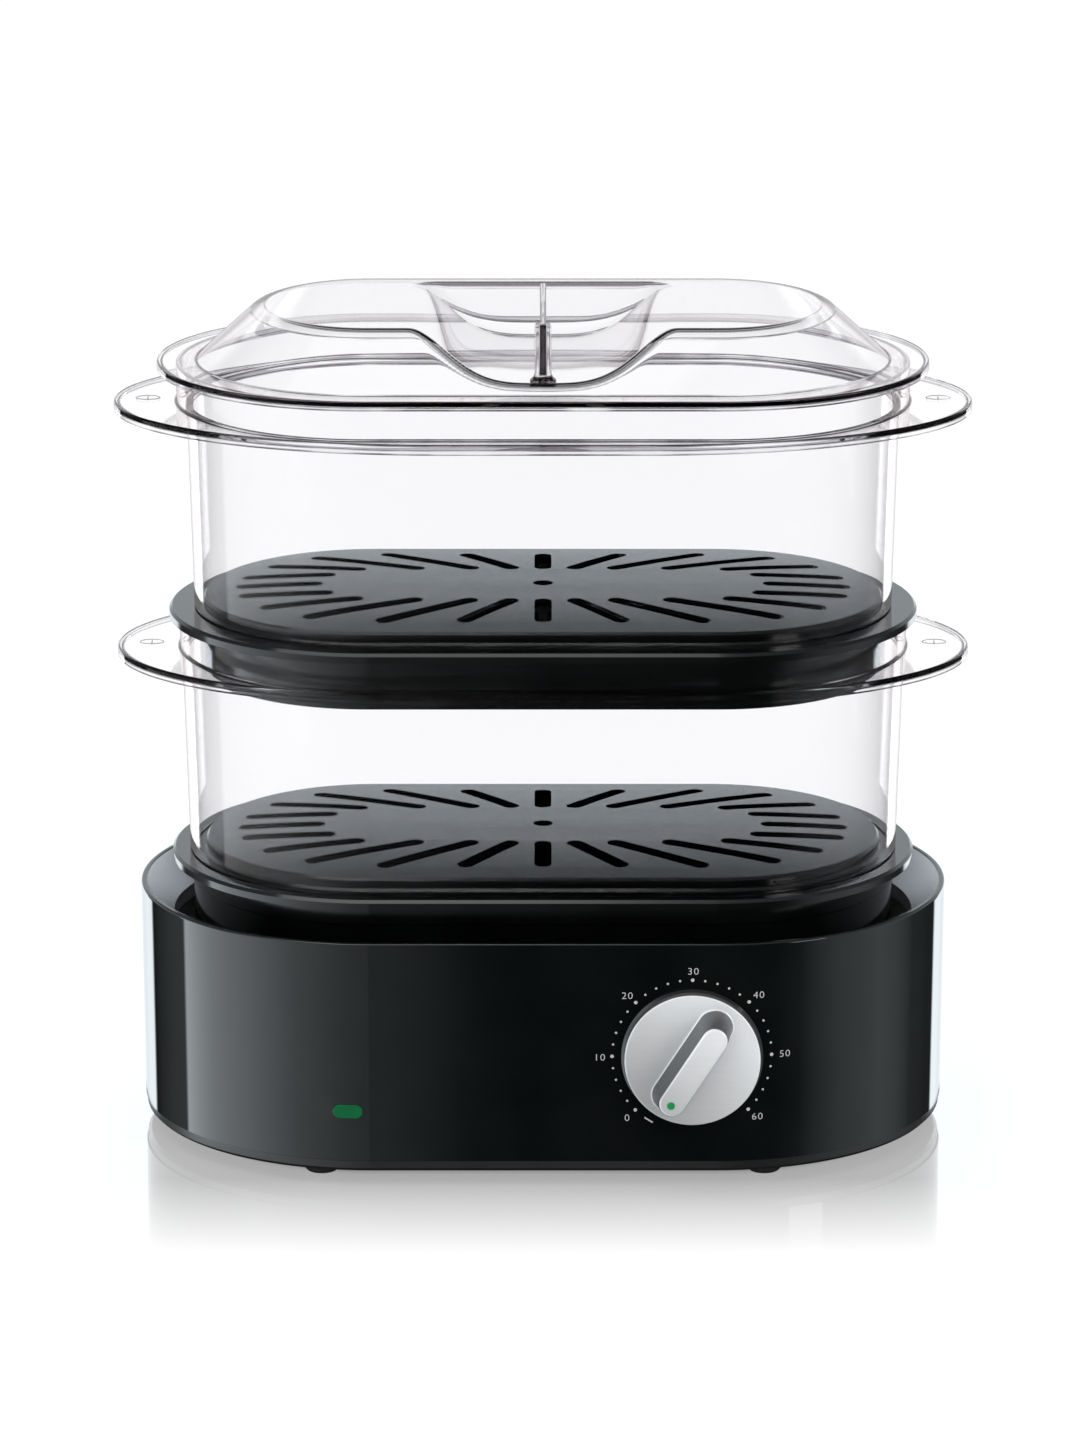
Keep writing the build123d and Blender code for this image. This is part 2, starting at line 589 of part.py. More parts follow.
def lens_prism(length, height, back, front):
    """Pill-shaped prism through the housing wall at the lamp, square to the curved wall."""
    pill = SlotOverall(length, height)
    prism = Rot(90, 0, 0) * extrude(Pos(0, 0, back) * pill, amount=front - back)
    at_wall = Pos(0, -housing_radius(LENS_Z), LENS_Z) * prism
    return Pos(-SPINE, 0, 0) * Rot(0, 0, -LENS_ANGLE) * at_wall


def indicator_lens():
    """Green light guide: pill in the wall, flange behind it."""
    lens = lens_prism(LENS_LENGTH, LENS_HEIGHT, -WALL - 1.2, 0.5)
    outer = lens.faces().sort_by(Axis.Y)[0]
    lens = fillet(outer.edges(), 0.35)
    return lens + lens_prism(LENS_LENGTH + 4, LENS_HEIGHT + 4, -WALL - 2.2, -WALL - 0.9)


def lamp_holder():
    """Clip-on cup behind the lens that holds the neon lamp."""
    cup = lens_prism(LENS_LENGTH + 3, LENS_HEIGHT + 5, -WALL - 12, -WALL - 2.25)
    return cup - lens_prism(LENS_LENGTH, LENS_HEIGHT + 1, -WALL - 10.5, -WALL - 2)


def lamp_tube():
    """Neon lamp lying in the holder."""
    tube = Pos(0, -housing_radius(LENS_Z) + WALL + 7.5, LENS_Z) * Rot(0, 90, 0) * Cylinder(2.9, 8)
    return Pos(-SPINE, 0, 0) * Rot(0, 0, -LENS_ANGLE) * tube


# ---------------------------------------------------------------- supply


def cord_bushing():
    """Bushing in the back wall where the mains cord comes in: long grip inside, flared mouth outside."""
    wall = housing_radius(CORD_Z)
    inside = wall - WALL - BUSHING_REACH
    throat = wall - WALL - 0.5
    mouth = wall + 1.6
    bush = rod_y(BUSHING_R, inside, wall + 1.2, CORD_X, CORD_Z)
    bush += rod_y(BUSHING_R + 2, wall + 0.1, mouth, CORD_X, CORD_Z)
    bush += rod_y(BUSHING_R + 1.5, inside, wall - WALL - 0.2, CORD_X, CORD_Z)
    flare = Cone(CORD_HOLE_R, BUSHING_MOUTH_R, mouth - throat, align=(Align.CENTER, Align.CENTER, Align.MIN))
    bush -= rod_y(CORD_HOLE_R, inside - 1, throat + 1, CORD_X, CORD_Z)
    return bush - Pos(CORD_X, throat, CORD_Z) * Rot(-90, 0, 0) * flare


def terminal_block():
    """Three-way screw terminal on the bottom cover."""
    low = COVER_FLOOR + TOUCH_GAP
    body = block((BLOCK_X - 15, BLOCK_Y - 8, low), (BLOCK_X + 15, BLOCK_Y + 8, low + 9))
    for x in (BLOCK_X - BLOCK_STEP, BLOCK_X, BLOCK_X + BLOCK_STEP):
        body += block((x - 3.5, BLOCK_Y - 5, low + 8), (x + 3.5, BLOCK_Y + 5, low + 14))
        body -= rod(2, low + 9, low + 15, x, BLOCK_Y)
        body -= rod_y(1.6, BLOCK_Y - 9, BLOCK_Y - 4, x, low + 4)
    return body


def wire(radius, bend, *points):
    """Insulated wire: straight runs joined by tangent arcs."""
    path = FilletPolyline(*points, radius=bend)
    start = path.location_at(0)
    return sweep(Plane(start.position, z_dir=path.tangent_at(0)) * Circle(radius), path=path)


def wires():
    """Inner wiring from the terminal block to the timer, the heater and the lamp."""
    low = COVER_FLOOR + 4
    pin_z = TUBE_Z - PIN_LENGTH - 0.2
    pin_x = TUBE_RING_R * sin(radians(TUBE_HALF_GAP))
    pin_y = TANK_Y - TUBE_RING_R * cos(radians(TUBE_HALF_GAP))
    timer_x = KNOB_X - TIMER_WIDTH / 2 - TERMINAL_REACH - 1
    timer_y = CASE_FRONT + TERMINAL_DEPTH + TERMINAL_THICK / 2
    supply = BLOCK_Y - 8.2
    lamp_reach = HOUSING_FOOT_R - WALL - 15.6
    lamp_x = -SPINE - lamp_reach * sin(radians(LENS_ANGLE))
    lamp_y = -lamp_reach * cos(radians(LENS_ANGLE))
    live = wire(
        WIRE_R,
        5,
        (BLOCK_X, supply, low),
        (BLOCK_X, WIRE_RUN, low),
        (timer_x, WIRE_RUN, low),
        (timer_x, timer_y, low + 12),
        (timer_x, timer_y, KNOB_Z - TERMINAL_OFFSET - 3),
    )
    neutral = wire(
        WIRE_R,
        4,
        (BLOCK_X + BLOCK_STEP, supply, low),
        (BLOCK_X + BLOCK_STEP, pin_y, low),
        (-pin_x, pin_y, low),
        (-pin_x, pin_y, pin_z),
    )
    lamp = wire(
        LAMP_WIRE_R,
        4,
        (BLOCK_X - BLOCK_STEP, supply, low),
        (BLOCK_X - BLOCK_STEP, LAMP_WIRE_TURN, low),
        (lamp_x, lamp_y, low),
        (lamp_x, lamp_y, LENS_Z),
    )
    return Compound([live, neutral, lamp])


# ---------------------------------------------------------------- drip tray and steaming tiers


def drip_tray():
    """Dish that catches the juices, with a raised chimney in the middle for the steam."""
    inner = DRIP_WALL_R - TRAY_WALL
    profile = outline(
        (0, DRIP_FLOOR),
        (DRIP_WALL_R - 2, DRIP_FLOOR),
        (DRIP_WALL_R, DRIP_FLOOR + 3),
        (DRIP_WALL_R, DRIP_STEP_HEIGHT - 1),
        (DRIP_BAND_R, DRIP_STEP_HEIGHT),
        (DRIP_BAND_R, DRIP_TOP - SEAT_GAP),
        (inner + 0.6, DRIP_TOP - SEAT_GAP),
        (inner, DRIP_STEP_HEIGHT),
        (inner, DRIP_FLOOR + 4),
        (inner - 2, DRIP_FLOOR + 2),
        (0, DRIP_FLOOR + 2),
    )
    dish = ring(profile)
    dish += rod(CHIMNEY_R + 2, DRIP_FLOOR, DRIP_FLOOR + CHIMNEY_RISE)
    return dish - rod(CHIMNEY_R, DRIP_FLOOR - 1, DRIP_FLOOR + CHIMNEY_RISE + 1)


def plate_height(reach):
    """Rise of the crowned plate above the rim at a distance from the spine."""
    return PLATE_RISE + PLATE_CROWN * (1 - (reach / PLATE_R) ** 2)


def slot_end(spine, radius, station):
    """Point of the racetrack on which slot ends lie; station is the share of its half length."""
    x = station * (spine + radius)
    past = max(x - spine, 0.0)
    return x, sqrt(max(radius**2 - past**2, 0.0))


def slot_lines():
    """Both ends of each steam slot: rays between an inner and an outer racetrack, mirrored to all sides."""
    lines = set()
    for inner, outer in zip(SLOT_INNER_STATIONS, SLOT_OUTER_STATIONS):
        start = slot_end(SLOT_INNER_SPINE, SLOT_INNER_R, inner)
        stop = slot_end(SPINE, SLOT_OUTER_R, outer)
        for sx in (-1, 1):
            for sy in (-1, 1):
                ends = [(round(sx * p[0], 3) + 0.0, round(sy * p[1], 3) + 0.0) for p in (start, stop)]
                lines.add(tuple(ends))
    return sorted(lines)


def slot_face(start, stop, width):
    """Round-ended slot outline between two end points, which lie on its ends."""
    dx, dy = stop[0] - start[0], stop[1] - start[1]
    middle = ((start[0] + stop[0]) / 2, (start[1] + stop[1]) / 2)
    angle = degrees(atan2(dy, dx))
    length = sqrt(dx * dx + dy * dy) + width - SLOT_WIDTH
    return Pos(*middle) * Rot(0, 0, angle) * SlotOverall(length, width)


def tray(rim_top):
    """Slotted steaming tray: crowned plate, rim with a turned-down bead, and a skirt below."""
    crown_top = rim_top + PLATE_RISE + PLATE_CROWN
    edge = rim_top + PLATE_RISE
    skirt_inner = PLATE_R - TRAY_WALL
    crown = ThreePointArc(
        (0, crown_top), (PLATE_R / 2, rim_top + plate_height(PLATE_R / 2)), (PLATE_R - 1, edge + 0.1)
    )
    rest = Polyline(
        (PLATE_R - 1, edge + 0.1),
        (PLATE_R, edge - 1),
        (PLATE_R, rim_top + 1.2),
        (PLATE_R + 1.2, rim_top),
        (TRAY_RIM_R - 1.2, rim_top),
        (TRAY_RIM_R, rim_top - 1.2),
        (TRAY_RIM_R, rim_top - TRAY_BEAD),
        (TRAY_RIM_R - 2, rim_top - TRAY_BEAD),
        (TRAY_RIM_R - 2, rim_top - TRAY_RIM_THICK),
        (PLATE_R, rim_top - TRAY_RIM_THICK),
        (PLATE_R - 0.5, rim_top - TRAY_SKIRT),
        (skirt_inner - 0.5, rim_top - TRAY_SKIRT),
        (skirt_inner, edge - PLATE_THICK - 0.5),
    )
    underside = ThreePointArc(
        (skirt_inner, edge - PLATE_THICK - 0.5),
        (PLATE_R / 2, rim_top + plate_height(PLATE_R / 2) - PLATE_THICK),
        (0, crown_top - PLATE_THICK),
    )
    middle = Line((0, crown_top - PLATE_THICK), (0, crown_top))
    body = ring(make_face([crown, rest, underside, middle]))
    pockets = Sketch() + [slot_face(a, b, SLOT_WIDTH) for a, b in slot_lines()]
    openings = Sketch() + [slot_face(a, b, SLOT_OPENING) for a, b in slot_lines()]
    openings += Circle(CENTRE_HOLE_R)
    body -= slab(pockets, edge - SLOT_DEPTH + 1.0, crown_top + 1)
    return body - slab(openings, edge - 6, crown_top + 1)


def basket(foot_level, foot_r, top_r):
    """Clear wall ring with a wide oval handle flange and the collar that carries the next tier."""
    under = foot_level + FLANGE_LEVEL
    foot = foot_level + SEAT_GAP
    flange_top = under + FLANGE_BEAD
    profile = outline(
        (foot_r, foot),
        (top_r, under + FLANGE_BEAD - FLANGE_THICK),
        (COLLAR_R, under + FLANGE_BEAD - FLANGE_THICK),
        (COLLAR_R, foot_level + COLLAR_HEIGHT - SEAT_GAP),
        (COLLAR_R - CLEAR_WALL, foot_level + COLLAR_HEIGHT - SEAT_GAP),
        (COLLAR_R - CLEAR_WALL, flange_top),
        (top_r - CLEAR_WALL, flange_top),
        (foot_r - CLEAR_WALL, foot),
    )
    wall = ring(profile)
    outer = oval(FLANGE_SPINE, FLANGE_HALF_LENGTH - FLANGE_SPINE, FLANGE_HALF_DEPTH)
    edge = oval(
        FLANGE_SPINE, FLANGE_HALF_LENGTH - FLANGE_SPINE - CLEAR_WALL, FLANGE_HALF_DEPTH - CLEAR_WALL
    )
    flange = slab(outer, under, flange_top)
    flange = fillet(flange.edges().group_by(Axis.Z)[-1], EDGE_ROUND)
    flange -= slab(edge, under - 1, flange_top - FLANGE_THICK)
    flange -= slab(racetrack(SPINE, COLLAR_R - CLEAR_WALL / 2), under - 1, flange_top + 1)
    return wall + flange


# ---------------------------------------------------------------- lid


def trough_curve(grow):
    """Points across the trough from right to left, moved down and outwards by an offset."""
    right = [
        (TROUGH_HALF_WIDTH * share, DOME_TOP - TROUGH_DEPTH * depth) for share, depth in TROUGH_STATIONS
    ]
    points = right + [(-x, z) for x, z in reversed(right[:-1])]
    moved = []
    for k, (x, z) in enumerate(points):
        before, after = points[max(k - 1, 0)], points[min(k + 1, len(points) - 1)]
        dx, dz = after[0] - before[0], after[1] - before[1]
        chord = sqrt(dx * dx + dz * dz)
        moved.append((x - grow * dz / chord, z + grow * dx / chord))
    return moved


def trough_cutter(grow):
    """Prism of the trough across the dome with a sloped and rounded back end, all grown by an offset."""
    points = trough_curve(grow)
    (right, low), left = points[0], points[-1][0]
    wide, high = right + 3, low + 15
    mouth = [(left, low), (-wide, low + 1), (-wide, high), (wide, high), (wide, low + 1), (right, low)]
    face = make_face([Spline(*points), Polyline(*mouth)])
    prism = extrude(Plane.XZ * face, amount=DOME_R + 5, both=True)
    floor = DOME_TOP - TROUGH_DEPTH - grow - TROUGH_END_SINK
    run = TROUGH_END_TOP - TROUGH_END_FOOT
    slope = sqrt(run * run + TROUGH_DEPTH * TROUGH_DEPTH)
    foot = TROUGH_END_FOOT + grow * (slope - run) / TROUGH_DEPTH
    over, front = high + 5, -DOME_R - 10
    top = foot + run * (over - floor) / TROUGH_DEPTH
    side = outline((front, floor), (foot, floor), (top, over), (front, over))
    side = fillet(side.vertices().sort_by_distance((foot, floor, 0))[:1], TROUGH_END_ROUND + grow)
    return prism & extrude(Plane.YZ * side, amount=wide + 5, both=True)


def dome(inset, low):
    """Solid dome of the lid, from an outline at its foot to a smaller plateau, shrunk by an inset."""
    foot = Pos(0, 0, low) * oval(SPINE, DOME_R - inset, DOME_R - inset)
    top = Pos(0, 0, DOME_TOP - inset) * oval(SPINE, PLATEAU_END - inset * 0.6, PLATEAU_R - inset * 0.6)
    body = loft([foot, top], ruled=True)
    return fillet(body.edges().group_by(Axis.Z)[-1], DOME_EDGE_ROUND - inset / 2)


def lid():
    """Clear dome on an oval flange, with a trough that is open in front and a grip rib standing in it."""
    seat = COLLAR_TOP
    shell = dome(0, seat)
    shell -= trough_cutter(0)
    hollow = dome(CLEAR_WALL, seat - 1)
    hollow -= trough_cutter(CLEAR_WALL)
    outer = oval(SPINE, LID_FLANGE_END, LID_FLANGE_R)
    inner = oval(SPINE, LID_FLANGE_END - CLEAR_WALL, LID_FLANGE_R - CLEAR_WALL)
    flange = slab(outer, seat + LID_FLANGE_THICK - LID_BEAD, seat + LID_FLANGE_THICK)
    flange = fillet(flange.edges().group_by(Axis.Z)[-1], EDGE_ROUND)
    flange -= slab(inner, seat - LID_BEAD, seat)
    body = shell + flange - hollow
    return body + grip_rib()


def grip_rib():
    """Thin wall along the trough, as high as the plateau, with a thicker post at its front end."""
    foot = DOME_TOP - TROUGH_DEPTH - CLEAR_WALL / 2
    top = DOME_TOP
    side = outline(
        (-RIB_REACH_FOOT, foot), (-RIB_REACH_TOP, top), (TROUGH_END_TOP, top), (TROUGH_END_FOOT, foot)
    )
    rib = extrude(Plane.YZ * side, amount=RIB_THICK / 2, both=True)
    post = outline(
        (-RIB_REACH_FOOT, foot),
        (-RIB_REACH_TOP, top),
        (RIB_POST_LENGTH - RIB_REACH_TOP, top),
        (RIB_POST_LENGTH - RIB_REACH_FOOT, foot),
    )
    return rib + extrude(Plane.YZ * post, amount=RIB_POST_WIDTH / 2, both=True)


# ---------------------------------------------------------------- build

PARTS = {
    "base_housing": base_housing,
    "base_cover": base_cover,
    "feet": feet,
    "cover_screws": cover_screws,
    "water_tank": water_tank,
    "heater_plate": heater_plate,
    "heater_gasket": heater_gasket,
    "heater_tube": heater_tube,
    "heater_clamp": heater_clamp,
    "heater_screws": heater_screws,
    "thermostat": thermostat,
    "thermal_fuse": thermal_fuse,
    "timer_bracket": timer_bracket,
    "timer_case": timer_case,
    "timer_screws": timer_screws,
    "timer_bell": timer_bell,
    "timer_shaft": timer_shaft,
    "knob_core": knob_core,
    "knob_cap": knob_cap,
    "knob_pointer": knob_pointer,
    "indicator_lens": indicator_lens,
    "lamp_holder": lamp_holder,
    "lamp_tube": lamp_tube,
    "cord_bushing": cord_bushing,
    "terminal_block": terminal_block,
    "wires": wires,
    "drip_tray": drip_tray,
    "lower_tray": lambda: tray(FIRST_TIER),
    "lower_basket": lambda: basket(FIRST_TIER, LOWER_BASKET_FOOT_R, LOWER_BASKET_TOP_R),
    "upper_tray": lambda: tray(SECOND_TIER),
    "upper_basket": lambda: basket(SECOND_TIER, UPPER_BASKET_FOOT_R, UPPER_BASKET_TOP_R),
    "lid": lid,
}

os.makedirs("parts", exist_ok=True)
for name, make in PARTS.items():
    export_step(make(), f"parts/{name}.step")
    print("wrote", name)
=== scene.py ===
# %% [markdown]
# # A two-tier food steamer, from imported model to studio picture
# The steamer arrives as a finished CAD model: a gloss black base, two clear baskets with black slotted
# trays, and a clear lid. Blender's work is what a product photographer and a paint shop would do next.
# Everything is in metres, with Z up and the front facing -Y.

import math

import bmesh
import bpy
import numpy as np
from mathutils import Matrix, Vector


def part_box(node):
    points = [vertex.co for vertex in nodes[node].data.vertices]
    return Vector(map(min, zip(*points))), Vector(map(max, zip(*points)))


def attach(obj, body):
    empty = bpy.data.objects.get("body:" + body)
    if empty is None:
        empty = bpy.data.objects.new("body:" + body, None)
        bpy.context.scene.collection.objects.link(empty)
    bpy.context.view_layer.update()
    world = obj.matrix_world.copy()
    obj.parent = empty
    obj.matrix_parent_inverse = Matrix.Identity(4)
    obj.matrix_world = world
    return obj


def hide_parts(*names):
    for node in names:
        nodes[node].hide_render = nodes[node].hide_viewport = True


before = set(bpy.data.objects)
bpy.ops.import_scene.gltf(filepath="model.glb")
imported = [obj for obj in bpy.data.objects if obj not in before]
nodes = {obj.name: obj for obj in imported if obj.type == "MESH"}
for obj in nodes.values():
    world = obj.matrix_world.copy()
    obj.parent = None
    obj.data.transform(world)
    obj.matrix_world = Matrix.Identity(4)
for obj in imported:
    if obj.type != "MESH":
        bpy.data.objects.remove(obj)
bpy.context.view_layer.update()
scene = bpy.context.scene

# %% [markdown]
# ## The camera
# A catalogue picture is taken from far away with a long lens, so that upright walls stay upright and both
# ends of the oval look alike. The camera stands 2.8 m from the steamer and looks down by 15.7 degrees.
# The lens is given by how large the steamer should come out: at 165 mm it fills three quarters of the width.

# %% Place the camera
LOOK_DOWN = math.radians(15.7)
DISTANCE = 2.8
TARGET = (-0.00126, 0.0, 0.1745)

camera_data = bpy.data.cameras.new("camera")
camera_data.lens = 164.6
camera_data.sensor_width = 36.0
camera_data.clip_end = 50.0
camera = bpy.data.objects.new("camera", camera_data)
camera.location = (
    TARGET[0],
    TARGET[1] - DISTANCE * math.cos(LOOK_DOWN),
    TARGET[2] + DISTANCE * math.sin(LOOK_DOWN),
)
camera.rotation_euler = (math.pi / 2 - LOOK_DOWN, 0.0, 0.0)
scene.collection.objects.link(camera)
scene.camera = camera
scene.view_settings.view_transform = "Standard"
print("camera at", [round(v, 3) for v in camera.location])

# %% [markdown]
# ## Writing shaders as sums
# A finish is a small network of nodes. Drawing that network by hand takes a line for each node and one for
# each link, and the idea gets lost. Here a socket is wrapped in a class whose operators add the Math node
# that works them out, so `1 - mask * 0.3` is written as it is thought. Every other node comes from one
# method, which takes the node's type, its settings and what its sockets get.

# %% A socket that can be added and multiplied
class Wire:
    """One output socket. Arithmetic on it adds a Math node and gives that node's output."""

    def __init__(self, tree, socket):
        self.tree = tree
        self.socket = socket

    def maths(self, operation, *values):
        """Math node on the given values, any of which may be numbers or other wires."""
        return self.tree.maths(operation, *values)

    def __add__(self, other):
        return self.maths("ADD", self, other)

    def __sub__(self, other):
        return self.maths("SUBTRACT", self, other)

    def __rsub__(self, other):
        return self.maths("SUBTRACT", other, self)

    def __mul__(self, other):
        return self.maths("MULTIPLY", self, other)

    def __truediv__(self, other):
        return self.maths("DIVIDE", self, other)

    def __abs__(self):
        return self.maths("ABSOLUTE", self)

    __radd__ = __add__
    __rmul__ = __mul__

    def smooth(self, low, high):
        """Rises softly from 0 to 1 as the value goes from low to high."""
        settings = {"interpolation_type": "SMOOTHSTEP"}
        return self.tree.add("ShaderNodeMapRange", settings, {"Value": self, 1: low, 2: high})


class Network:
    """The node tree of a material or of the world."""

    def __init__(self, owner):
        owner.use_nodes = True
        is_world = isinstance(owner, bpy.types.World)
        self.output_kind = "ShaderNodeOutputWorld" if is_world else "ShaderNodeOutputMaterial"
        self.tree = owner.node_tree
        self.tree.nodes.clear()
        self.output = None

    def add(self, kind, settings=None, sockets=None, output=0):
        """Node of a kind, with its settings made first and its sockets then given values or links."""
        node = self.tree.nodes.new(kind)
        for name, value in (settings or {}).items():
            if name == "stops":
                self.set_stops(node.color_ramp, value)
            else:
                setattr(node, name, value)
        for name, value in (sockets or {}).items():
            if isinstance(value, Wire):
                self.tree.links.new(value.socket, node.inputs[name])
            else:
                node.inputs[name].default_value = value
        return Wire(self, node.outputs[output]) if len(node.outputs) else node

    def set_stops(self, ramp, stops):
        """Colour ramp through (place, grey level or colour) stops."""
        while len(ramp.elements) < len(stops):
            ramp.elements.new(0.5)
        for element, (place, colour) in zip(ramp.elements, stops):
            element.position = place
            element.color = colour if isinstance(colour, tuple) else (colour, colour, colour, 1.0)

    def split(self, vector):
        """The x, y and z of a vector."""
        return [self.add("ShaderNodeSeparateXYZ", None, {0: vector}, k) for k in range(3)]

    def maths(self, operation, *values):
        """Math node in this network."""
        return self.add("ShaderNodeMath", {"operation": operation}, dict(enumerate(values)))

    def finish(self, shader, socket="Surface"):
        """Links the last shader to the output."""
        self.output = self.output or self.tree.nodes.new(self.output_kind)
        self.tree.links.new(shader.socket, self.output.inputs[socket])


print("shader helpers ready")

# %% [markdown]
# ## The studio
# Gloss black plastic has hardly any colour of its own: what is seen on it is the room. A real studio puts a
# long softbox to the left, a dim one to the right, black flags in front, and a bright backdrop behind. A
# room of cards and lamps would do the same, but the sky can hold it all, as a brightness for each
# direction. Mirror rays see that studio, matt surfaces see an even pale grey, and the camera sees white.
# The cards are pairs of degrees, from 0 in front to 180 behind, and brightness; the ceiling's degrees rise
# from the horizon.

# %% Brightness of the studio in each direction
BRIGHTEST = 4.2
LEFT_CARDS = (
    (0, 0.01), (0.7, 0.08), (1.4, 0.36), (3.0, 0.48), (14, 0.64), (21, 0.8), (38, 1.22), (65, 2.4), (87, 3.1),
    (106, 4.2), (108, 0.4), (127, 0.15), (141, 0.02), (144, 3.6), (160, 1.8), (172, 1.15), (180, 0.8),
)
RIGHT_CARDS = (
    (0, 0.02), (30, 0.03), (43, 0.11), (52, 0.36), (66, 0.67), (91, 0.82), (103, 0.56), (117, 0.16),
    (134, 0.06), (142, 0.05), (145, 3.6), (160, 1.8), (172, 1.15), (180, 0.8),
)
CEILING = ((0, 1.1), (19, 1.1), (27, 0.35), (55, 0.4), (90, 0.6))


def card_stops(cards, reach):
    """Stops of a ramp whose brightest value is 1, from (degrees, brightness) pairs."""
    return [(degrees / reach, value / BRIGHTEST) for degrees, value in cards]


world = bpy.data.worlds.new("studio")
scene.world = world
world.cycles.sampling_method = "NONE"
sky = Network(world)
across, along, up = sky.split(sky.add("ShaderNodeTexCoord", output="Generated"))
azimuth = sky.maths("ARCTAN2", abs(across), along * -1.0) / math.pi
elevation = sky.maths("ARCSINE", up) * (2 / math.pi)
left_cards = sky.add("ShaderNodeValToRGB", {"stops": card_stops(LEFT_CARDS, 180)}, {0: azimuth})
right_cards = sky.add("ShaderNodeValToRGB", {"stops": card_stops(RIGHT_CARDS, 180)}, {0: azimuth})
ceiling = sky.add("ShaderNodeValToRGB", {"stops": card_stops(CEILING, 90)}, {0: elevation}) * BRIGHTEST
on_left = sky.maths("LESS_THAN", across, 0.0)
cards = (left_cards * on_left + right_cards * (1 - on_left)) * BRIGHTEST
above = elevation.smooth(-0.04, 0.03) * azimuth.smooth(0.3, 0.45)
mirrored = cards + (ceiling - cards) * sky.maths("MAXIMUM", above, elevation.smooth(0.3, 0.6))

# %% [markdown]
# A Light Path node tells which way a ray has come. What is seen straight, or through clear plastic, is a
# bright backdrop that gets dark overhead and dimmer in front, so that the rims of clear walls, which bend the
# view, draw dark lines. After a mirror has turned the ray, it sees the cards, also if it then passes through
# plastic; they are a little cool. A matt surface gets an even pale grey.

# %% Choose the brightness by the kind of ray
MATT_LIGHT = 0.85
BACKDROP = ((0, 1.12), (14, 1.12), (24, 0.2), (90, 0.1))
IN_FRONT = 0.5
COOL = (0.89, 0.96, 1.0)

camera_ray = sky.add("ShaderNodeLightPath", output="Is Camera Ray")
matt_ray = sky.add("ShaderNodeLightPath", output="Is Diffuse Ray")
turned = sky.maths("GREATER_THAN", sky.add("ShaderNodeLightPath", output="Glossy Depth"), 0.5)
seen_through = sky.add("ShaderNodeValToRGB", {"stops": card_stops(BACKDROP, 90)}, {0: elevation}) * BRIGHTEST
seen_through = seen_through * (IN_FRONT + (1 - IN_FRONT) * azimuth.smooth(0.4, 0.6))
strength = seen_through + (mirrored - seen_through) * turned
strength = strength + (MATT_LIGHT - strength) * matt_ray
strength = strength + (1.0 - strength) * camera_ray
cool = {"stops": [(0.0, (1.0, 1.0, 1.0, 1.0)), (1.0, (*COOL, 1.0))]}
colour = sky.add("ShaderNodeValToRGB", cool, {0: turned})
sky.finish(sky.add("ShaderNodeBackground", None, {"Color": colour, "Strength": strength}))
print("studio has", len(sky.tree.nodes), "nodes")

# %% [markdown]
# The floor is white acrylic: it keeps a soft shadow and a mirror image that fades away from the base.
# Its own white comes from a mix of lit white and glowing white, so it needs no extra lamp. Under the base it
# doesn't glow, or the base would seem to float on light. To mirror rays the floor shows painted shade, a
# near-black matt sheet, under and close to the base, and is clear elsewhere, so that the gloss walls, which
# all look downwards, see the cards.

# %% The floor
FLOOR_HALF = 3.0
MIRROR_SHARE = 0.52
FADE_START = 0.09
FADE_END = 0.188
GLOW_SHARE = 0.72
GLOW = 1.12
GLOW_MORE = 0.16  # added where the floor is seen through clear plastic
GLOW_LESS = 0.55  # taken away there, far to the sides

base_low, base_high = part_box("base_housing")
RIM_R = base_high.y
SPINE = base_high.x - base_high.y


def flat_sheet(name, half, level):
    """Square sheet: x and y run over a two by two grid of corners, z is the level."""
    x, y = np.meshgrid((-half, half), (-half, half))
    points = np.stack([x, y, np.full_like(x, level, dtype=float)], axis=-1).reshape(-1, 3)
    mesh = bpy.data.meshes.new(name)
    mesh.from_pydata(points.tolist(), [], [(0, 1, 3, 2)])
    sheet = bpy.data.objects.new(name, mesh)
    scene.collection.objects.link(sheet)
    return sheet


floor = flat_sheet("floor", FLOOR_HALF, 0.0)
white_acrylic = bpy.data.materials.new("white_acrylic")
acrylic = Network(white_acrylic)
place = acrylic.add("ShaderNodeTexCoord", output="Object")
floor_x, floor_y, _ = acrylic.split(place)
past_spine = acrylic.maths("MAXIMUM", abs(floor_x) - SPINE, 0.0)
from_spine = acrylic.maths("SQRT", past_spine * past_spine + floor_y * floor_y)
turned = acrylic.maths("GREATER_THAN", acrylic.add("ShaderNodeLightPath", output="Glossy Depth"), 0.5)
uncovered = from_spine.smooth(RIM_R - 0.03, RIM_R - 0.013)
beside = from_spine.smooth(RIM_R + 0.004, RIM_R + 0.014)
fading = {"Value": abs(floor_y), 1: FADE_START, 2: FADE_END, 3: 1.0, 4: 0.0}
fade_y = acrylic.add("ShaderNodeMapRange", None, fading)
fade_x = 1 - abs(floor_x).smooth(base_high.x - 0.01, base_high.x + 0.066)
lit = acrylic.add("ShaderNodeBsdfDiffuse", None, {"Color": (0.92, 0.92, 0.92, 1)})
through_clear = acrylic.add("ShaderNodeLightPath", output="Is Transmission Ray")
glow_level = GLOW + through_clear * (GLOW_MORE - GLOW_LESS * abs(floor_x).smooth(0.8, 2.0))
glow = acrylic.add("ShaderNodeEmission", None, {"Color": (1, 1, 1, 1), "Strength": glow_level})
white = acrylic.add("ShaderNodeMixShader", None, {0: uncovered * GLOW_SHARE, 1: lit, 2: glow})
polish = acrylic.add("ShaderNodeBsdfGlossy", None, {"Color": (1, 1, 1, 1), "Roughness": 0.03})
polished = acrylic.add("ShaderNodeMixShader", None, {0: fade_x * fade_y * MIRROR_SHARE, 1: white, 2: polish})
mirror_ray = turned * (1 - acrylic.add("ShaderNodeLightPath", output="Is Diffuse Ray"))
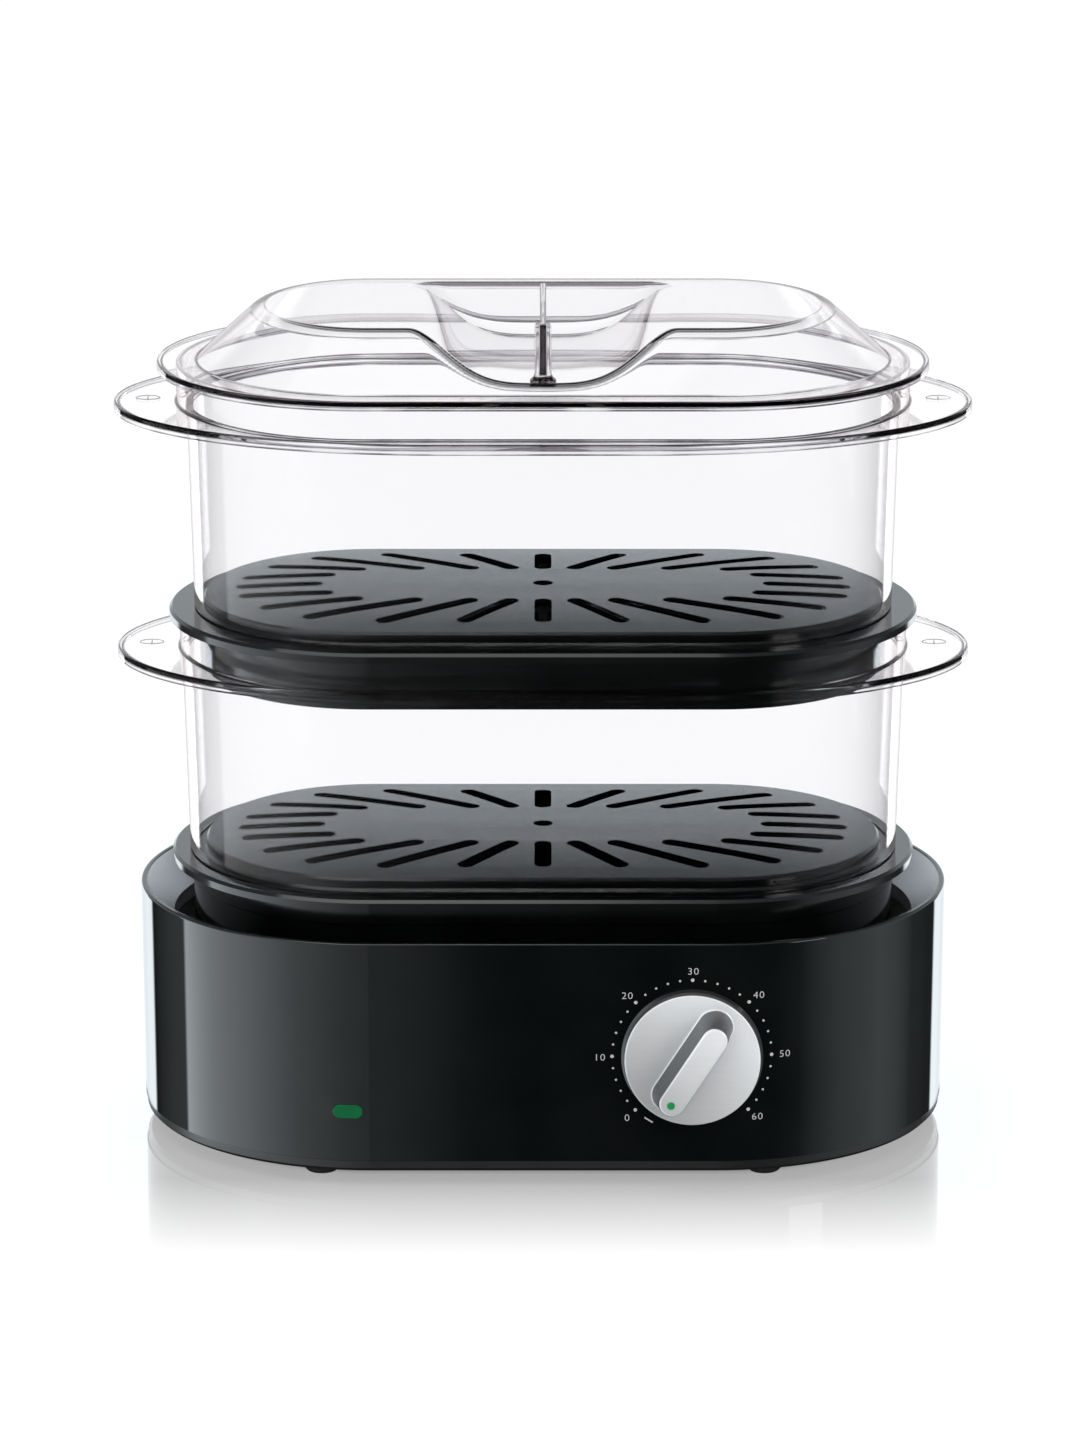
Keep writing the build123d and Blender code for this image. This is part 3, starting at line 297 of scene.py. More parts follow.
clear = acrylic.add("ShaderNodeBsdfTransparent")
# painted shade: near-black matt floor under and beside the base, seen only by mirror rays
shade = acrylic.add("ShaderNodeBsdfDiffuse", None, {"Color": (0.01, 0.01, 0.01, 1)})
seen_in_gloss = acrylic.add("ShaderNodeMixShader", None, {0: beside, 1: shade, 2: clear})
acrylic.finish(acrylic.add("ShaderNodeMixShader", None, {0: mirror_ray, 1: polished, 2: seen_in_gloss}))
floor.data.materials.append(white_acrylic)
print("floor reaches", FLOOR_HALF, "m each way")

# %% [markdown]
# Two plain softboxes add direction to the even light: a broad one overhead, a little to the left and in
# front, and a smaller one at the right front that brightens the knob.

# %% Softboxes
def softbox(name, place, target, size, power):
    """Square area lamp at a place, turned to face a target."""
    data = bpy.data.lights.new(name, "AREA")
    data.shape = "SQUARE"
    data.size = size
    data.energy = power
    lamp = bpy.data.objects.new(name, data)
    away = np.subtract(place, target)
    reach = float(np.linalg.norm(away))
    tilt = math.acos(away[2] / reach)
    turn = math.atan2(away[1], away[0]) + math.pi / 2
    lamp.location = place
    lamp.rotation_euler = (tilt, 0.0, turn)
    scene.collection.objects.link(lamp)
    print(name, "stands", round(reach, 2), "m away")
    return lamp


softbox("overhead_softbox", (-0.3, -0.25, 1.35), (0.0, 0.0, 0.2), 0.8, 4.5)
softbox("right_softbox", (1.1, -1.0, 0.55), (0.05, -0.1, 0.08), 0.45, 3.0)

# %% [markdown]
# ## Finishes
# The steamer is nearly all injection-moulded plastic. What tells one moulding from another is how its mould
# was polished: the housing is mirror gloss, the trays are satin, the bottom cover and feet are grained.
# Each finish below is one Principled shader with a few fine patterns on Object coordinates, in metres, so
# that the grain keeps its true size on every part. Where a piece gets painted shade or a painted sheen in one
# place, such as the dark slots of a tray, a second shader takes over there, behind a mask.

# %% A maker of moulded finishes
def grain(net, size, detail=2.0):
    """Noise in Object coordinates whose patches are about a given size in metres."""
    place = net.add("ShaderNodeTexCoord", output="Object")
    settings = {"noise_dimensions": "3D"}
    return net.add("ShaderNodeTexNoise", settings, {"Vector": place, "Scale": 1 / size, "Detail": detail})


def relief(net, height, depth):
    """Bump normal from a height pattern; the depth is in metres."""
    return net.add("ShaderNodeBump", None, {"Height": height, "Distance": depth, "Strength": 1.0})


PLATE_R = 0.071
PLATE_CROWN = 0.003
SLOTS_R = (0.063, 0.065)
SLOT_DEPTH = (0.0004, 0.0014)


def slot_painted_shade(edge_level):
    """Second shader of a tray: painted shade in its slots, nearly black and matt. The plate's height is e + c
    (1 - (r / R)^2) at a distance r from the spine, and what lies over a millimetre below it is in a slot."""
    def second(net):
        x, y, z = net.split(net.add("ShaderNodeTexCoord", output="Object"))
        past = net.maths("MAXIMUM", abs(x) - SPINE, 0.0)
        square = past * past + y * y
        height = edge_level + PLATE_CROWN * (1 - square / PLATE_R**2)
        within = 1 - square.smooth(SLOTS_R[0] ** 2, SLOTS_R[1] ** 2)
        mask = (height - z).smooth(*SLOT_DEPTH) * within
        return mask, net.add("ShaderNodeBsdfDiffuse", None, {"Color": (0.001, 0.0015, 0.0015, 1)})

    return second


def funnel_painted_sheen(net):
    """Second shader of the housing: a painted sheen inside the rim, where the funnel's ends face each other.
    Its softer polish is real, but its rough mirror is nearly white, far stronger than black plastic reflects,
    so the ends look pale. The mask is the x of the normal, pointing inwards."""
    x, y, z = net.split(net.add("ShaderNodeTexCoord", output="Object"))
    normal_x, _, _ = net.split(net.add("ShaderNodeTexCoord", output="Normal"))
    inwards = net.maths("SIGN", x) * normal_x * -1.0
    mask = inwards.smooth(0.45, 0.8) * abs(x).smooth(0.12, 0.14) * (z - base_high.z).smooth(-0.03, -0.016)
    return mask, net.add("ShaderNodeBsdfGlossy", None, {"Color": (0.96, 0.97, 1.0, 1), "Roughness": 0.5})


def moulded(name, dark, light, rough, grain_size=0.0004, grain_depth=0.0, spread=0.05, second=None, **fixed):
    """Moulded finish: two near colours and a roughness that drift with the flow of the melt, fine grain. A
    second shader, painted shade or a painted sheen, may take over behind its mask."""
    material = bpy.data.materials.new(name)
    net = Network(material)
    flow = grain(net, 0.035, 3.0)
    settings = {"stops": [(0.35, (*dark, 1.0)), (0.7, (*light, 1.0))]}
    sockets = {
        "Base Color": net.add("ShaderNodeValToRGB", settings, {0: flow}),
        "Roughness": rough + (flow - 0.5) * spread,
        **fixed,
    }
    if grain_depth:
        sockets["Normal"] = relief(net, grain(net, grain_size), grain_depth)
    shader = net.add("ShaderNodeBsdfPrincipled", None, sockets)
    if second:
        mask, other = second(net)
        shader = net.add("ShaderNodeMixShader", None, {0: mask, 1: shader, 2: other})
    net.finish(shader)
    return material


gloss_tones = ((0.002, 0.003, 0.003), (0.004, 0.005, 0.005), 0.02)
# its second shader is a painted sheen on the funnel's ends
gloss_black = moulded("gloss_black", *gloss_tones, spread=0.015, second=funnel_painted_sheen)
tray_tones = ((0.001, 0.0014, 0.0014), (0.003, 0.0035, 0.0035), 0.13, 0.0003, 0.000002)
satin_black = moulded("satin_black", *tray_tones)
# second shader of both trays: painted shade in the slots
lower_black = moulded("lower_black", *tray_tones, second=slot_painted_shade(0.1255))
upper_black = moulded("upper_black", *tray_tones, second=slot_painted_shade(0.2315), **{"Specular IOR Level": 0.38})
grained_black = moulded("grained_black", (0.008, 0.009, 0.009), (0.012, 0.013, 0.013), 0.35, 0.0005, 0.00001)
foot_rubber = moulded("foot_rubber", (0.012, 0.012, 0.012), (0.02, 0.02, 0.02), 0.65, 0.0006, 0.00002)
tank_black = moulded("tank_black", (0.012, 0.013, 0.014), (0.02, 0.021, 0.022), 0.3, 0.0005, 0.000008)
knob_black = moulded("knob_black", (0.004, 0.004, 0.004), (0.007, 0.007, 0.007), 0.12, 0.0003, 0.000003)
lens_green = moulded("lens_green", (0.0, 0.07, 0.02), (0.0, 0.18, 0.06), 0.06, **{"Specular IOR Level": 0.2})
pointer_green = moulded("pointer_green", (0.0, 0.24, 0.06), (0.0, 0.3, 0.08), 0.3)
timer_grey = moulded("timer_grey", (0.5, 0.48, 0.42), (0.56, 0.54, 0.48), 0.4, 0.0005, 0.00001)
nylon_white = moulded("nylon_white", (0.62, 0.61, 0.56), (0.7, 0.69, 0.64), 0.45, 0.0005, 0.00001)
silicone_red = moulded("silicone_red", (0.3, 0.03, 0.02), (0.38, 0.05, 0.03), 0.5, 0.0006, 0.00001)
wire_blue = moulded("wire_blue", (0.02, 0.06, 0.25), (0.03, 0.08, 0.32), 0.35)
print("moulded finishes ready")

# %% [markdown]
# The metal parts are hidden in the base, apart from the knob's cap. Rolled sheet has streaks along one
# direction, so its noise is stretched; the cap is satin lacquer over silver, which glows softly because its
# flakes scatter light, so it is only partly metallic. Its face has painted light: it gets lighter to the
# right and to the top, and its walls get painted shade.

# %% Metals
def rolled(name, tint, rough, stretch=(1.0, 30.0, 1.0), metallic=1.0, depth=0.0):
    """Metal with streaks: noise squeezed along one axis drives the roughness and a slight tint."""
    material = bpy.data.materials.new(name)
    net = Network(material)
    place = net.add("ShaderNodeTexCoord", output="Object")
    squeezed = net.add("ShaderNodeMapping", None, {"Vector": place, "Scale": stretch})
    streak = net.add("ShaderNodeTexNoise", None, {"Vector": squeezed, "Scale": 90.0, "Detail": 3.0})
    low = tuple(0.9 * c for c in tint)
    colour = net.add("ShaderNodeValToRGB", {"stops": [(0.3, (*low, 1.0)), (0.7, (*tint, 1.0))]}, {0: streak})
    sockets = {"Base Color": colour, "Roughness": rough + (streak - 0.5) * 0.12, "Metallic": metallic}
    if depth:
        sockets["Normal"] = relief(net, streak, depth)
    net.finish(net.add("ShaderNodeBsdfPrincipled", None, sockets))
    return material


def lacquered(name, middle, radius):
    """Satin silver lacquer on a cap that faces -Y, with painted light: across the face its tone rises to the
    right and to the top, and walls that turn away from the front, by the y of the normal, get painted shade."""
    material = bpy.data.materials.new(name)
    net = Network(material)
    place = net.add("ShaderNodeTexCoord", output="Object")
    right, _, top = net.split(place)
    across, rise = (right - middle[0]) / radius, (top - middle[1]) / radius
    squeezed = net.add("ShaderNodeMapping", None, {"Vector": place, "Scale": (1.0, 1.0, 14.0)})
    streak = net.add("ShaderNodeTexNoise", None, {"Vector": squeezed, "Scale": 90.0, "Detail": 3.0})
    _, facing, _ = net.split(net.add("ShaderNodeTexCoord", output="Normal"))
    front = abs(facing).smooth(0.35, 0.9)
    # painted light across the face, then painted shade on the walls that turn away
    tone = 0.78 + 0.2 * across + 0.22 * rise + 0.07 * (streak - 0.5)
    tone = tone * (0.12 + 0.88 * front)
    stops = {"stops": [(0.0, (0.0, 0.0, 0.0, 1.0)), (1.0, (0.97, 0.985, 1.0, 1.0))]}
    sockets = {
        "Base Color": net.add("ShaderNodeValToRGB", stops, {0: tone}),
        "Roughness": 0.34 + (streak - 0.5) * 0.12,
        "Metallic": 0.3,
        "Normal": relief(net, streak, 0.000002),
    }
    net.finish(net.add("ShaderNodeBsdfPrincipled", None, sockets))
    return material


silver_satin = lacquered("silver_satin", (0.062, 0.0571), 0.0284)
stainless = rolled("stainless", (0.62, 0.61, 0.59), 0.25)
screw_steel = rolled("screw_steel", (0.5, 0.5, 0.49), 0.32)
element_steel = rolled("element_steel", (0.3, 0.29, 0.28), 0.45)
bell_steel = rolled("bell_steel", (0.7, 0.69, 0.66), 0.18)
shaft_brass = rolled("shaft_brass", (0.72, 0.52, 0.24), 0.25)
print("metals ready")

# %% [markdown]
# Clear plastic is a real refracting body here: each wall has its thickness, so its edges bend the light and
# draw themselves as thin dark lines, which no see-through paint does. A Fresnel node shares each ray between
# bending and mirroring. Painted shade darkens these lines more: where the mirror is nearly whole, the ray
# gets a grey mirror and comes out dark, and a second, dark refraction takes over where the wall is met at a
# grazing angle and, in patches, on the points marked as rounded edges. Lamps would throw a full shadow
# through it, so shadow rays and matt light are let through by a Light Path switch.

# %% Clear finishes
# where a dark refraction, painted shade, sets in by facing, and how strong it is on marked edges
PAINTED_SHADE_FROM = 0.8
PAINTED_SHADE_FULL = 0.97
EDGE_PAINTED_SHADE = 0.7
EDGE_PATCH = 0.03
PLASTIC_IOR = 1.49
STEEP_MIRROR = (0.2, 0.185, 0.18)
FLAT_MIRROR = (0.98, 0.9, 0.88)


def clear_plastic(name, tint, shade_tint, mirror, rough=0.0, depth=(1.0, 1.0, 1.0), density=0.0):
    """Refracting plastic that lets the light of lamps and of matt surfaces pass straight through. A second,
    dark refraction is painted shade: its share rises from 0 to 1 as the facing goes between two limits, and
    reaches a set level, in patches, on the points marked as edges. The mirror is dim where it is met steeply
    and brighter where it is met flat; where it is nearly whole, the ray is trapped and gets the mirror's
    grey, which is painted shade too. Inside, each metre takes away (1 - depth) * density."""
    material = bpy.data.materials.new(name)
    net = Network(material)
    bend = {"Roughness": rough, "IOR": PLASTIC_IOR}
    pale = net.add("ShaderNodeBsdfRefraction", None, {"Color": (*tint, 1.0), **bend})
    dark = net.add("ShaderNodeBsdfRefraction", None, {"Color": (*shade_tint, 1.0), **bend})
    steep = net.add("ShaderNodeBsdfGlossy", None, {"Color": (*STEEP_MIRROR, 1.0), "Roughness": rough})
    flat = net.add("ShaderNodeBsdfGlossy", None, {"Color": (*FLAT_MIRROR, 1.0), "Roughness": rough})
    # painted shade: a grey mirror for rays that are trapped, so that edges come out dark
    trapped = net.add("ShaderNodeBsdfGlossy", None, {"Color": (*mirror, 1.0), "Roughness": rough})
    facing = net.add("ShaderNodeLayerWeight", None, {"Blend": 0.5}, "Facing")
    edge = net.add("ShaderNodeAttribute", {"attribute_name": "edge"}, None, "Fac") * EDGE_PAINTED_SHADE
    # painted shade: a dark refraction at grazing angles and, in patches, on marked edges
    grazing = facing.smooth(PAINTED_SHADE_FROM, PAINTED_SHADE_FULL)
    painted_shade = net.maths("MAXIMUM", grazing, edge * grain(net, EDGE_PATCH).smooth(0.3, 0.6))
    body = net.add("ShaderNodeMixShader", None, {0: painted_shade, 1: pale, 2: dark})
    share = net.add("ShaderNodeFresnel", None, {"IOR": PLASTIC_IOR})
    free = net.add("ShaderNodeMixShader", None, {0: share.smooth(0.07, 0.15), 1: steep, 2: flat})
    sheen = net.add("ShaderNodeMixShader", None, {0: share.smooth(0.5, 0.9), 1: free, 2: trapped})
    glass = net.add("ShaderNodeMixShader", None, {0: share, 1: body, 2: sheen})
    film = net.add("ShaderNodeBsdfTransparent", None, {"Color": (*tint, 1.0)})
    shadow_ray = net.add("ShaderNodeLightPath", output="Is Shadow Ray")
    matt_ray = net.add("ShaderNodeLightPath", output="Is Diffuse Ray")
    passing = net.maths("MAXIMUM", shadow_ray, matt_ray)
    net.finish(net.add("ShaderNodeMixShader", None, {0: passing, 1: glass, 2: film}))
    if density:
        murk = net.add("ShaderNodeVolumeAbsorption", None, {"Color": (*depth, 1.0), "Density": density})
        net.finish(murk, "Volume")
    return material


# second colour: the dark refraction of painted shade; third: the grey mirror of trapped rays, painted shade
# too
clear_wall = clear_plastic(
    "clear_wall", (0.99, 0.99, 0.995), (0.32, 0.31, 0.33), (0.62, 0.57, 0.57), 0.0, (0.45, 0.4, 0.5), 7.0
)
lamp_glass = clear_plastic("lamp_glass", (0.95, 0.9, 0.8), (0.4, 0.4, 0.4), (1.0, 1.0, 1.0))
print("clear finishes ready")

# %% [markdown]
# ## Clear baskets and lid
# A clear moulding is drawn by its edges, so here every edge counts: each corner has its small radius, as
# the mould leaves it, and each wall has two faces 2 mm apart. The CAD shells have the right shape, but
# their long thin triangles would bend the light in steps. So each shell is made again as one even grid: a
# closed profile with rounded corners is carried along the racetrack.

# %% Profiles with rounded corners
MM = 0.001
SPINE_MM = 72.5
ARC_POINTS = 11
FLAT_MARGIN = 0.25
LARGE_R = 2.0


def rounded(corners, radii, closed=True):
    """Profile with its corners rounded. With unit vectors a and b from a corner to its neighbours and h half
    the angle between them, an arc of radius r has its centre r / sin(h) away along a + b and starts
    r / tan(h) before the corner. Its points turn evenly from start to stop. One more point lies a little
    before and after each arc, so that the flats between keep flat shading."""
    if closed:
        corners = np.concatenate([corners[..., -1:, :], corners, corners[..., :1, :]], axis=-2)
    here = corners[..., 1:-1, :]
    back, ahead = corners[..., :-2, :] - here, corners[..., 2:, :] - here
    back = back / np.linalg.norm(back, axis=-1, keepdims=True)
    ahead = ahead / np.linalg.norm(ahead, axis=-1, keepdims=True)
    cosine = np.linalg.norm(back + ahead, axis=-1, keepdims=True) / 2
    sine = np.linalg.norm(back - ahead, axis=-1, keepdims=True) / 2
    radius = np.array(radii)[:, None]
    centre = here + (back + ahead) / (2 * cosine) * radius / sine
    reach = radius * cosine / sine
    start, stop = here + back * reach - centre, here + ahead * reach - centre
    sweep = (np.pi - 2 * np.arcsin(np.clip(sine, 0, 1)))[..., None, :]
    share = np.linspace(0, 1, ARC_POINTS)[:, None]
    swing = np.sin((1 - share) * sweep) * start[..., None, :] + np.sin(share * sweep) * stop[..., None, :]
    arc = centre[..., None, :] + swing / np.sin(sweep)
    lead = (here + back * (reach + FLAT_MARGIN))[..., None, :]
    tail = (here + ahead * (reach + FLAT_MARGIN))[..., None, :]
    loops = np.concatenate([lead, arc, tail], axis=-2)
    points = loops.reshape(*loops.shape[:-3], -1, 2)
    if not closed:
        points = np.concatenate([corners[..., :1, :], points, corners[..., -1:, :]], axis=-2)
    return points


def divided(points, counts):
    """Profile with some of its stretches cut into equal shares: counts gives the number for a stretch's
    first point, and every other stretch stays whole."""
    last = points.shape[-2] - 1
    places = [np.arange(k, k + 1, 1 / counts.get(k, 1)) for k in range(last)]
    place = np.concatenate([*places, [last]])
    low = np.minimum(place.astype(int), last - 1)
    share = (place - low)[:, None]
    return points[..., low, :] * (1 - share) + points[..., low + 1, :] * share


print("a rounded corner has", ARC_POINTS + 2, "points")

# %% [markdown]
# The path is the racetrack's spine, a straight line. Every place on the wall is measured from a point of
# the spine outwards, so a station is a spine point and a direction. The handle flange has another outline,
# a long oval. How far out that oval lies is worked out for each station from the ellipse's equation.

# %% Stations round the racetrack
def stations(straight, bend):
    """Spine point and outward direction for each step round the oval. Along the straights the point slides
    and the direction stays; round the ends the point stays and the direction turns."""
    slide = np.linspace(-1, 1, straight, endpoint=False)
    turn = np.linspace(-90, 90, bend, endpoint=False)
    point = SPINE_MM * np.concatenate([slide, np.ones(bend), -slide, -np.ones(bend)])
    angle = np.concatenate([np.full(straight, -90.0), turn, np.full(straight, 90.0), turn + 180])
    return point, np.cos(np.radians(angle)), np.sin(np.radians(angle))


def oval_reach(track, spine, end, depth):
    """Distance R from each station's spine point to an oval: of (dx + R c)^2 / end^2 + (R s)^2 / depth^2 = 1
    the larger root R is taken; where the oval is straight, R = depth / |s|."""
    point, c, s = track
    offset = point - np.sign(point) * spine
    a = (c / end) ** 2 + (s / depth) ** 2
    half_b = offset * c / end**2
    root = (-half_b + np.sqrt(half_b**2 - a * ((offset / end) ** 2 - 1))) / a
    return np.where(np.abs(point) < spine, depth / np.maximum(np.abs(s), 1e-9), root)


def carried(track, profile):
    """Points of a profile (distance from the spine, height) at every station, in metres."""
    point, c, s = (value[:, None] for value in track)
    reach, height = profile[..., 0], profile[..., 1]
    return MM * np.stack([point + c * reach, s * reach, height + 0 * point], axis=-1)


def edge_marks(radii):
    """Mark of every point of rounded corners, where the clear finish puts painted shade: 1 on a small arc,
    and on a large one only where it starts and stops, so that a broad rounding draws two lines."""
    small = [0.0] + [1.0] * ARC_POINTS + [0.0]
    large = [0.0, 1.0] + [0.0] * (ARC_POINTS - 2) + [1.0, 0.0]
    return np.concatenate([large if radius > LARGE_R else small for radius in radii])


def grid_piece(name, points, material, marks, wraps=False, capped=False):
    """Piece from a grid of points, with a four-sided face between neighbours and the marks as an attribute.
    It closes round its first axis, and across its second too if it wraps; a capped one gets a single face at
    each end instead. Points that coincide are merged, and the faces are then turned outwards."""
    rounds, rows = points.shape[:2]
    here = np.arange(rounds * rows).reshape(rounds, rows)
    if wraps:
        here = np.concatenate([here, here[:, :1]], axis=1)
    after = np.roll(here, -1, axis=0)
    quads = np.stack([here[:, :-1], after[:, :-1], after[:, 1:], here[:, 1:]], axis=-1).reshape(-1, 4)
    caps = [here[:, 0].tolist(), here[::-1, -1].tolist()] if capped else []
    mesh = bpy.data.meshes.new(name)
    mesh.from_pydata(points.reshape(-1, 3).tolist(), [], quads.tolist() + caps)
    edge = mesh.attributes.new("edge", "FLOAT", "POINT")
    edge.data.foreach_set("value", np.broadcast_to(marks, points.shape[:2]).ravel().astype(np.float32))
    shell = bmesh.new()
    shell.from_mesh(mesh)
    bmesh.ops.remove_doubles(shell, verts=shell.verts, dist=2e-6)
    bmesh.ops.recalc_face_normals(shell, faces=shell.faces)
    volume = shell.calc_volume(signed=True)
    shell.to_mesh(mesh)
    shell.free()
    mesh.shade_smooth()
    mesh.materials.append(material)
    piece = bpy.data.objects.new(name, mesh)
    scene.collection.objects.link(piece)
    print(name, len(mesh.polygons), "faces,", round(volume * 1e6, 1), "cubic centimetres")
    return piece


# %% [markdown]
# A basket is a wall that widens a little upwards, a collar on top that holds the next tray, and the handle
# flange, a thin plate with a turned-down edge. Walking once round this section gives twelve corners. The
# ones on the flange's edge take their distance from the two ovals, so the profile changes from station to
# station.

# %% Baskets
COLLAR_R = 81.2
FLANGE_SPINE = 43.0
FLANGE_END = 137.0
FLANGE_DEPTH = 87.0
CLEAR_WALL = 2.0
FOOT_RISE = 0.3  # heights above the tray's rim, on which the basket stands
FLANGE_RISE = 84.0
TOP_RISE = 103.2
FLANGE_HEIGHT = 4.5


def basket(name, foot_level, foot_r, top_r):
    """Clear basket ring whose section is carried round the racetrack, wall, collar and flange in one."""
    track = stations(14, 80)
    under, foot, top = foot_level + FLANGE_RISE, foot_level + FOOT_RISE, foot_level + TOP_RISE
    over = under + FLANGE_HEIGHT
    edge = oval_reach(track, FLANGE_SPINE, FLANGE_END, FLANGE_DEPTH)
    pocket = oval_reach(track, FLANGE_SPINE, FLANGE_END - CLEAR_WALL, FLANGE_DEPTH - CLEAR_WALL)
    steady = np.ones_like(edge)
    collar, inside = COLLAR_R, COLLAR_R - CLEAR_WALL
    section = (
        (foot_r, foot, 0.4), (top_r, under + CLEAR_WALL, 0.8), (pocket, under + CLEAR_WALL, 0.5),
        (pocket, under, 0.5), (edge, under, 0.6), (edge, over, 0.9), (collar, over, 0.8), (collar, top, 0.7),
        (inside, top, 0.7), (inside, over, 0.8), (top_r - CLEAR_WALL, over, 0.8),
        (foot_r - CLEAR_WALL, foot, 0.4),
    )
    corners = np.stack([np.stack([steady * r, steady * z], axis=-1) for r, z, _ in section], axis=1)
    radii = [radius for _, _, radius in section]
    profile = rounded(corners, radii)
    piece = grid_piece(name, carried(track, profile), clear_wall, edge_marks(radii), wraps=True)
    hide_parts(name.removesuffix("_shell"))
    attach(piece, name.removesuffix("_shell"))


basket("lower_basket_shell", 120.5, 78.0, 80.3)
basket("upper_basket_shell", 226.5, 74.8, 76.9)

# %% [markdown]
# On each end of the handle flanges stands a fine raised mark, an oval with a bar across, which tells the
# thumb where to press. The oval is a thin ring, half sunk in the flange; the bar is a slim spindle.

# %% Marks on the handles
MARK_PLACE = 165.7
MARK_HALF_LONG = 5.0
MARK_HALF_WIDE = 3.7
MARK_ROUND = 0.24
# edge mark of the handle marks: how much painted shade the clear finish puts on them
MARK_EDGE = 0.6


def ring_points(x, level):
    """Torus along an ellipse: at angle t its middle is (a cos t, b sin t), and a circle of radius r stands
    across it, out along the ellipse's normal (b cos t, a sin t) and up."""
    t = np.linspace(0, 2 * np.pi, 48, endpoint=False)[:, None]
    around = np.linspace(0, 2 * np.pi, 10, endpoint=False)[None, :]
    normal = np.stack([MARK_HALF_WIDE * np.cos(t), MARK_HALF_LONG * np.sin(t)])
    normal = normal / np.linalg.norm(normal, axis=0)
    out = MARK_ROUND * np.cos(around)
    return MM * np.stack([
        x + MARK_HALF_LONG * np.cos(t) + out * normal[0],
        MARK_HALF_WIDE * np.sin(t) + out * normal[1],
        level + MARK_ROUND * np.sin(around) + 0 * t,
    ], axis=-1)


def bar_points(x, level):
    """Spindle along y: its radius is r sqrt(sin u) while y runs as the cosine of u from end to end."""
    around = np.linspace(0, 2 * np.pi, 10, endpoint=False)[:, None]
    u = np.linspace(0, np.pi, 15)[None, :]
    radius = MARK_ROUND * np.sqrt(np.abs(np.sin(u)))
    y = -(MARK_HALF_WIDE - 0.6) * np.cos(u)
    height = level + radius * np.sin(around)
    return MM * np.stack([x + radius * np.cos(around), y + 0 * around, height], axis=-1)


for node, level in (("lower_basket", 209.0), ("upper_basket", 315.0)):
    for side, x in (("left", -MARK_PLACE), ("right", MARK_PLACE)):
        ring = grid_piece(f"{node}_{side}_oval", ring_points(x, level), clear_wall, MARK_EDGE, wraps=True)
        bar = grid_piece(f"{node}_{side}_bar", bar_points(x, level), clear_wall, MARK_EDGE)
        for piece in (ring, bar):
            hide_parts(node)
            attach(piece, node)

# %% [markdown]
# The lid is a dome with a flat top and a trough across its front half, in which a rib stands to be gripped.
# In front the trough is open; behind, it ends in a slope. The dome's section is carried round the racetrack
# from the middle of the top over the edge and back below, and then the trough is pressed in: the height of
# each point becomes the lower of dome and trough, blended softly where the two meet. The inner face gets the
# same trough, moved by the wall's thickness.

# %% Lid
LID_SEAT = 330.0
DOME_TOP = 355.5
FLAT_TOP = (47.4, 53.0)  # an outline's reach past the spine's end, and its half depth
FLAT_TOP_INSIDE = (46.2, 51.8)
FLANGE = (89.2, 84.5)
DOME_R = 75.5
FLANGE_OVER = 2.4  # how far the flange rises above the seat, and how far its lip hangs below
FLANGE_UNDER = 1.6
TROUGH_WIDTH = 55.0
TROUGH_DEPTH = 19.0
TROUGH_CURVE = 1.78
END_TOP = 41.0
END_SLOPE = 19.0 / 17.0
END_BLEND = 5.0
CREASE = 2.6
CUTS = (44, 22, 3, 22, 44)  # rows across the top, the slope and the flange, then slope and top inside


def trough(x, offset):
    """Height of the trough's floor. Its depth is D (1 + cos(pi w^p)) / 2 for w = |x| / half width, and
    outside it climbs steeply. The offset moves it down along its normal: offset * sqrt(1 + slope^2)."""
    w = np.abs(x) / TROUGH_WIDTH
    inside = np.minimum(w, 1.0)
    height = DOME_TOP - TROUGH_DEPTH * (1 + np.cos(np.pi * inside**TROUGH_CURVE)) / 2
    slope = TROUGH_DEPTH / TROUGH_WIDTH * np.pi / 2 * TROUGH_CURVE * inside ** (TROUGH_CURVE - 1)
    slope = slope * np.sin(np.pi * inside**TROUGH_CURVE)
    return height - offset * np.sqrt(1 + slope**2) + 40.0 * np.maximum(w - 1.0, 0.0)


def trough_end(y, offset):
    """Height of the slope behind, a straight line of y, moved down along its normal by the offset."""
    return DOME_TOP + END_SLOPE * (y - END_TOP) - offset * np.sqrt(1 + END_SLOPE**2)


def soft_min(a, b, blend):
    """The lower of two heights, with a rounded join: min(a, b) - h^2 k / 4, h = max(1 - |a - b| / k, 0)."""
    near = np.maximum(1 - np.abs(a - b) / blend, 0)
    return np.minimum(a, b) - near**2 * blend / 4


def trough_floor(x, y, offset):
    """The higher of trough and slope, with a rounded join."""
    return -soft_min(-trough(x, offset), -trough_end(y, offset), END_BLEND)


def pressed(track, profile, offset):
    """Profile with the trough pressed into its heights. The join is soft only where the trough is deep. The
    marks of the crease, which fades out where the trough is shallow and isn't there behind, and of the points
    that the trough leaves where they are come with it; the clear finish puts painted shade on marked points."""
    x = track[0][:, None] + track[1][:, None] * profile[..., 0]
    y = track[2][:, None] * profile[..., 0]
    deep = np.clip((DOME_TOP - offset - trough(x, offset)) / 4.0, 0.02, 1.0)
    floor_height = trough_floor(x, y, offset)
    blend = CREASE * deep
    height = soft_min(profile[..., 1], floor_height, blend)
    crease = np.clip(1.3 - np.abs(profile[..., 1] - floor_height) / blend * 3.5, 0, 1)
    crease = crease * np.clip(deep * 4 - 1, 0, 1) * (trough(x, offset) > trough_end(y, offset))
    kept = profile[..., 1] < floor_height + CREASE
    return np.stack([profile[..., 0], height], axis=-1), crease, kept


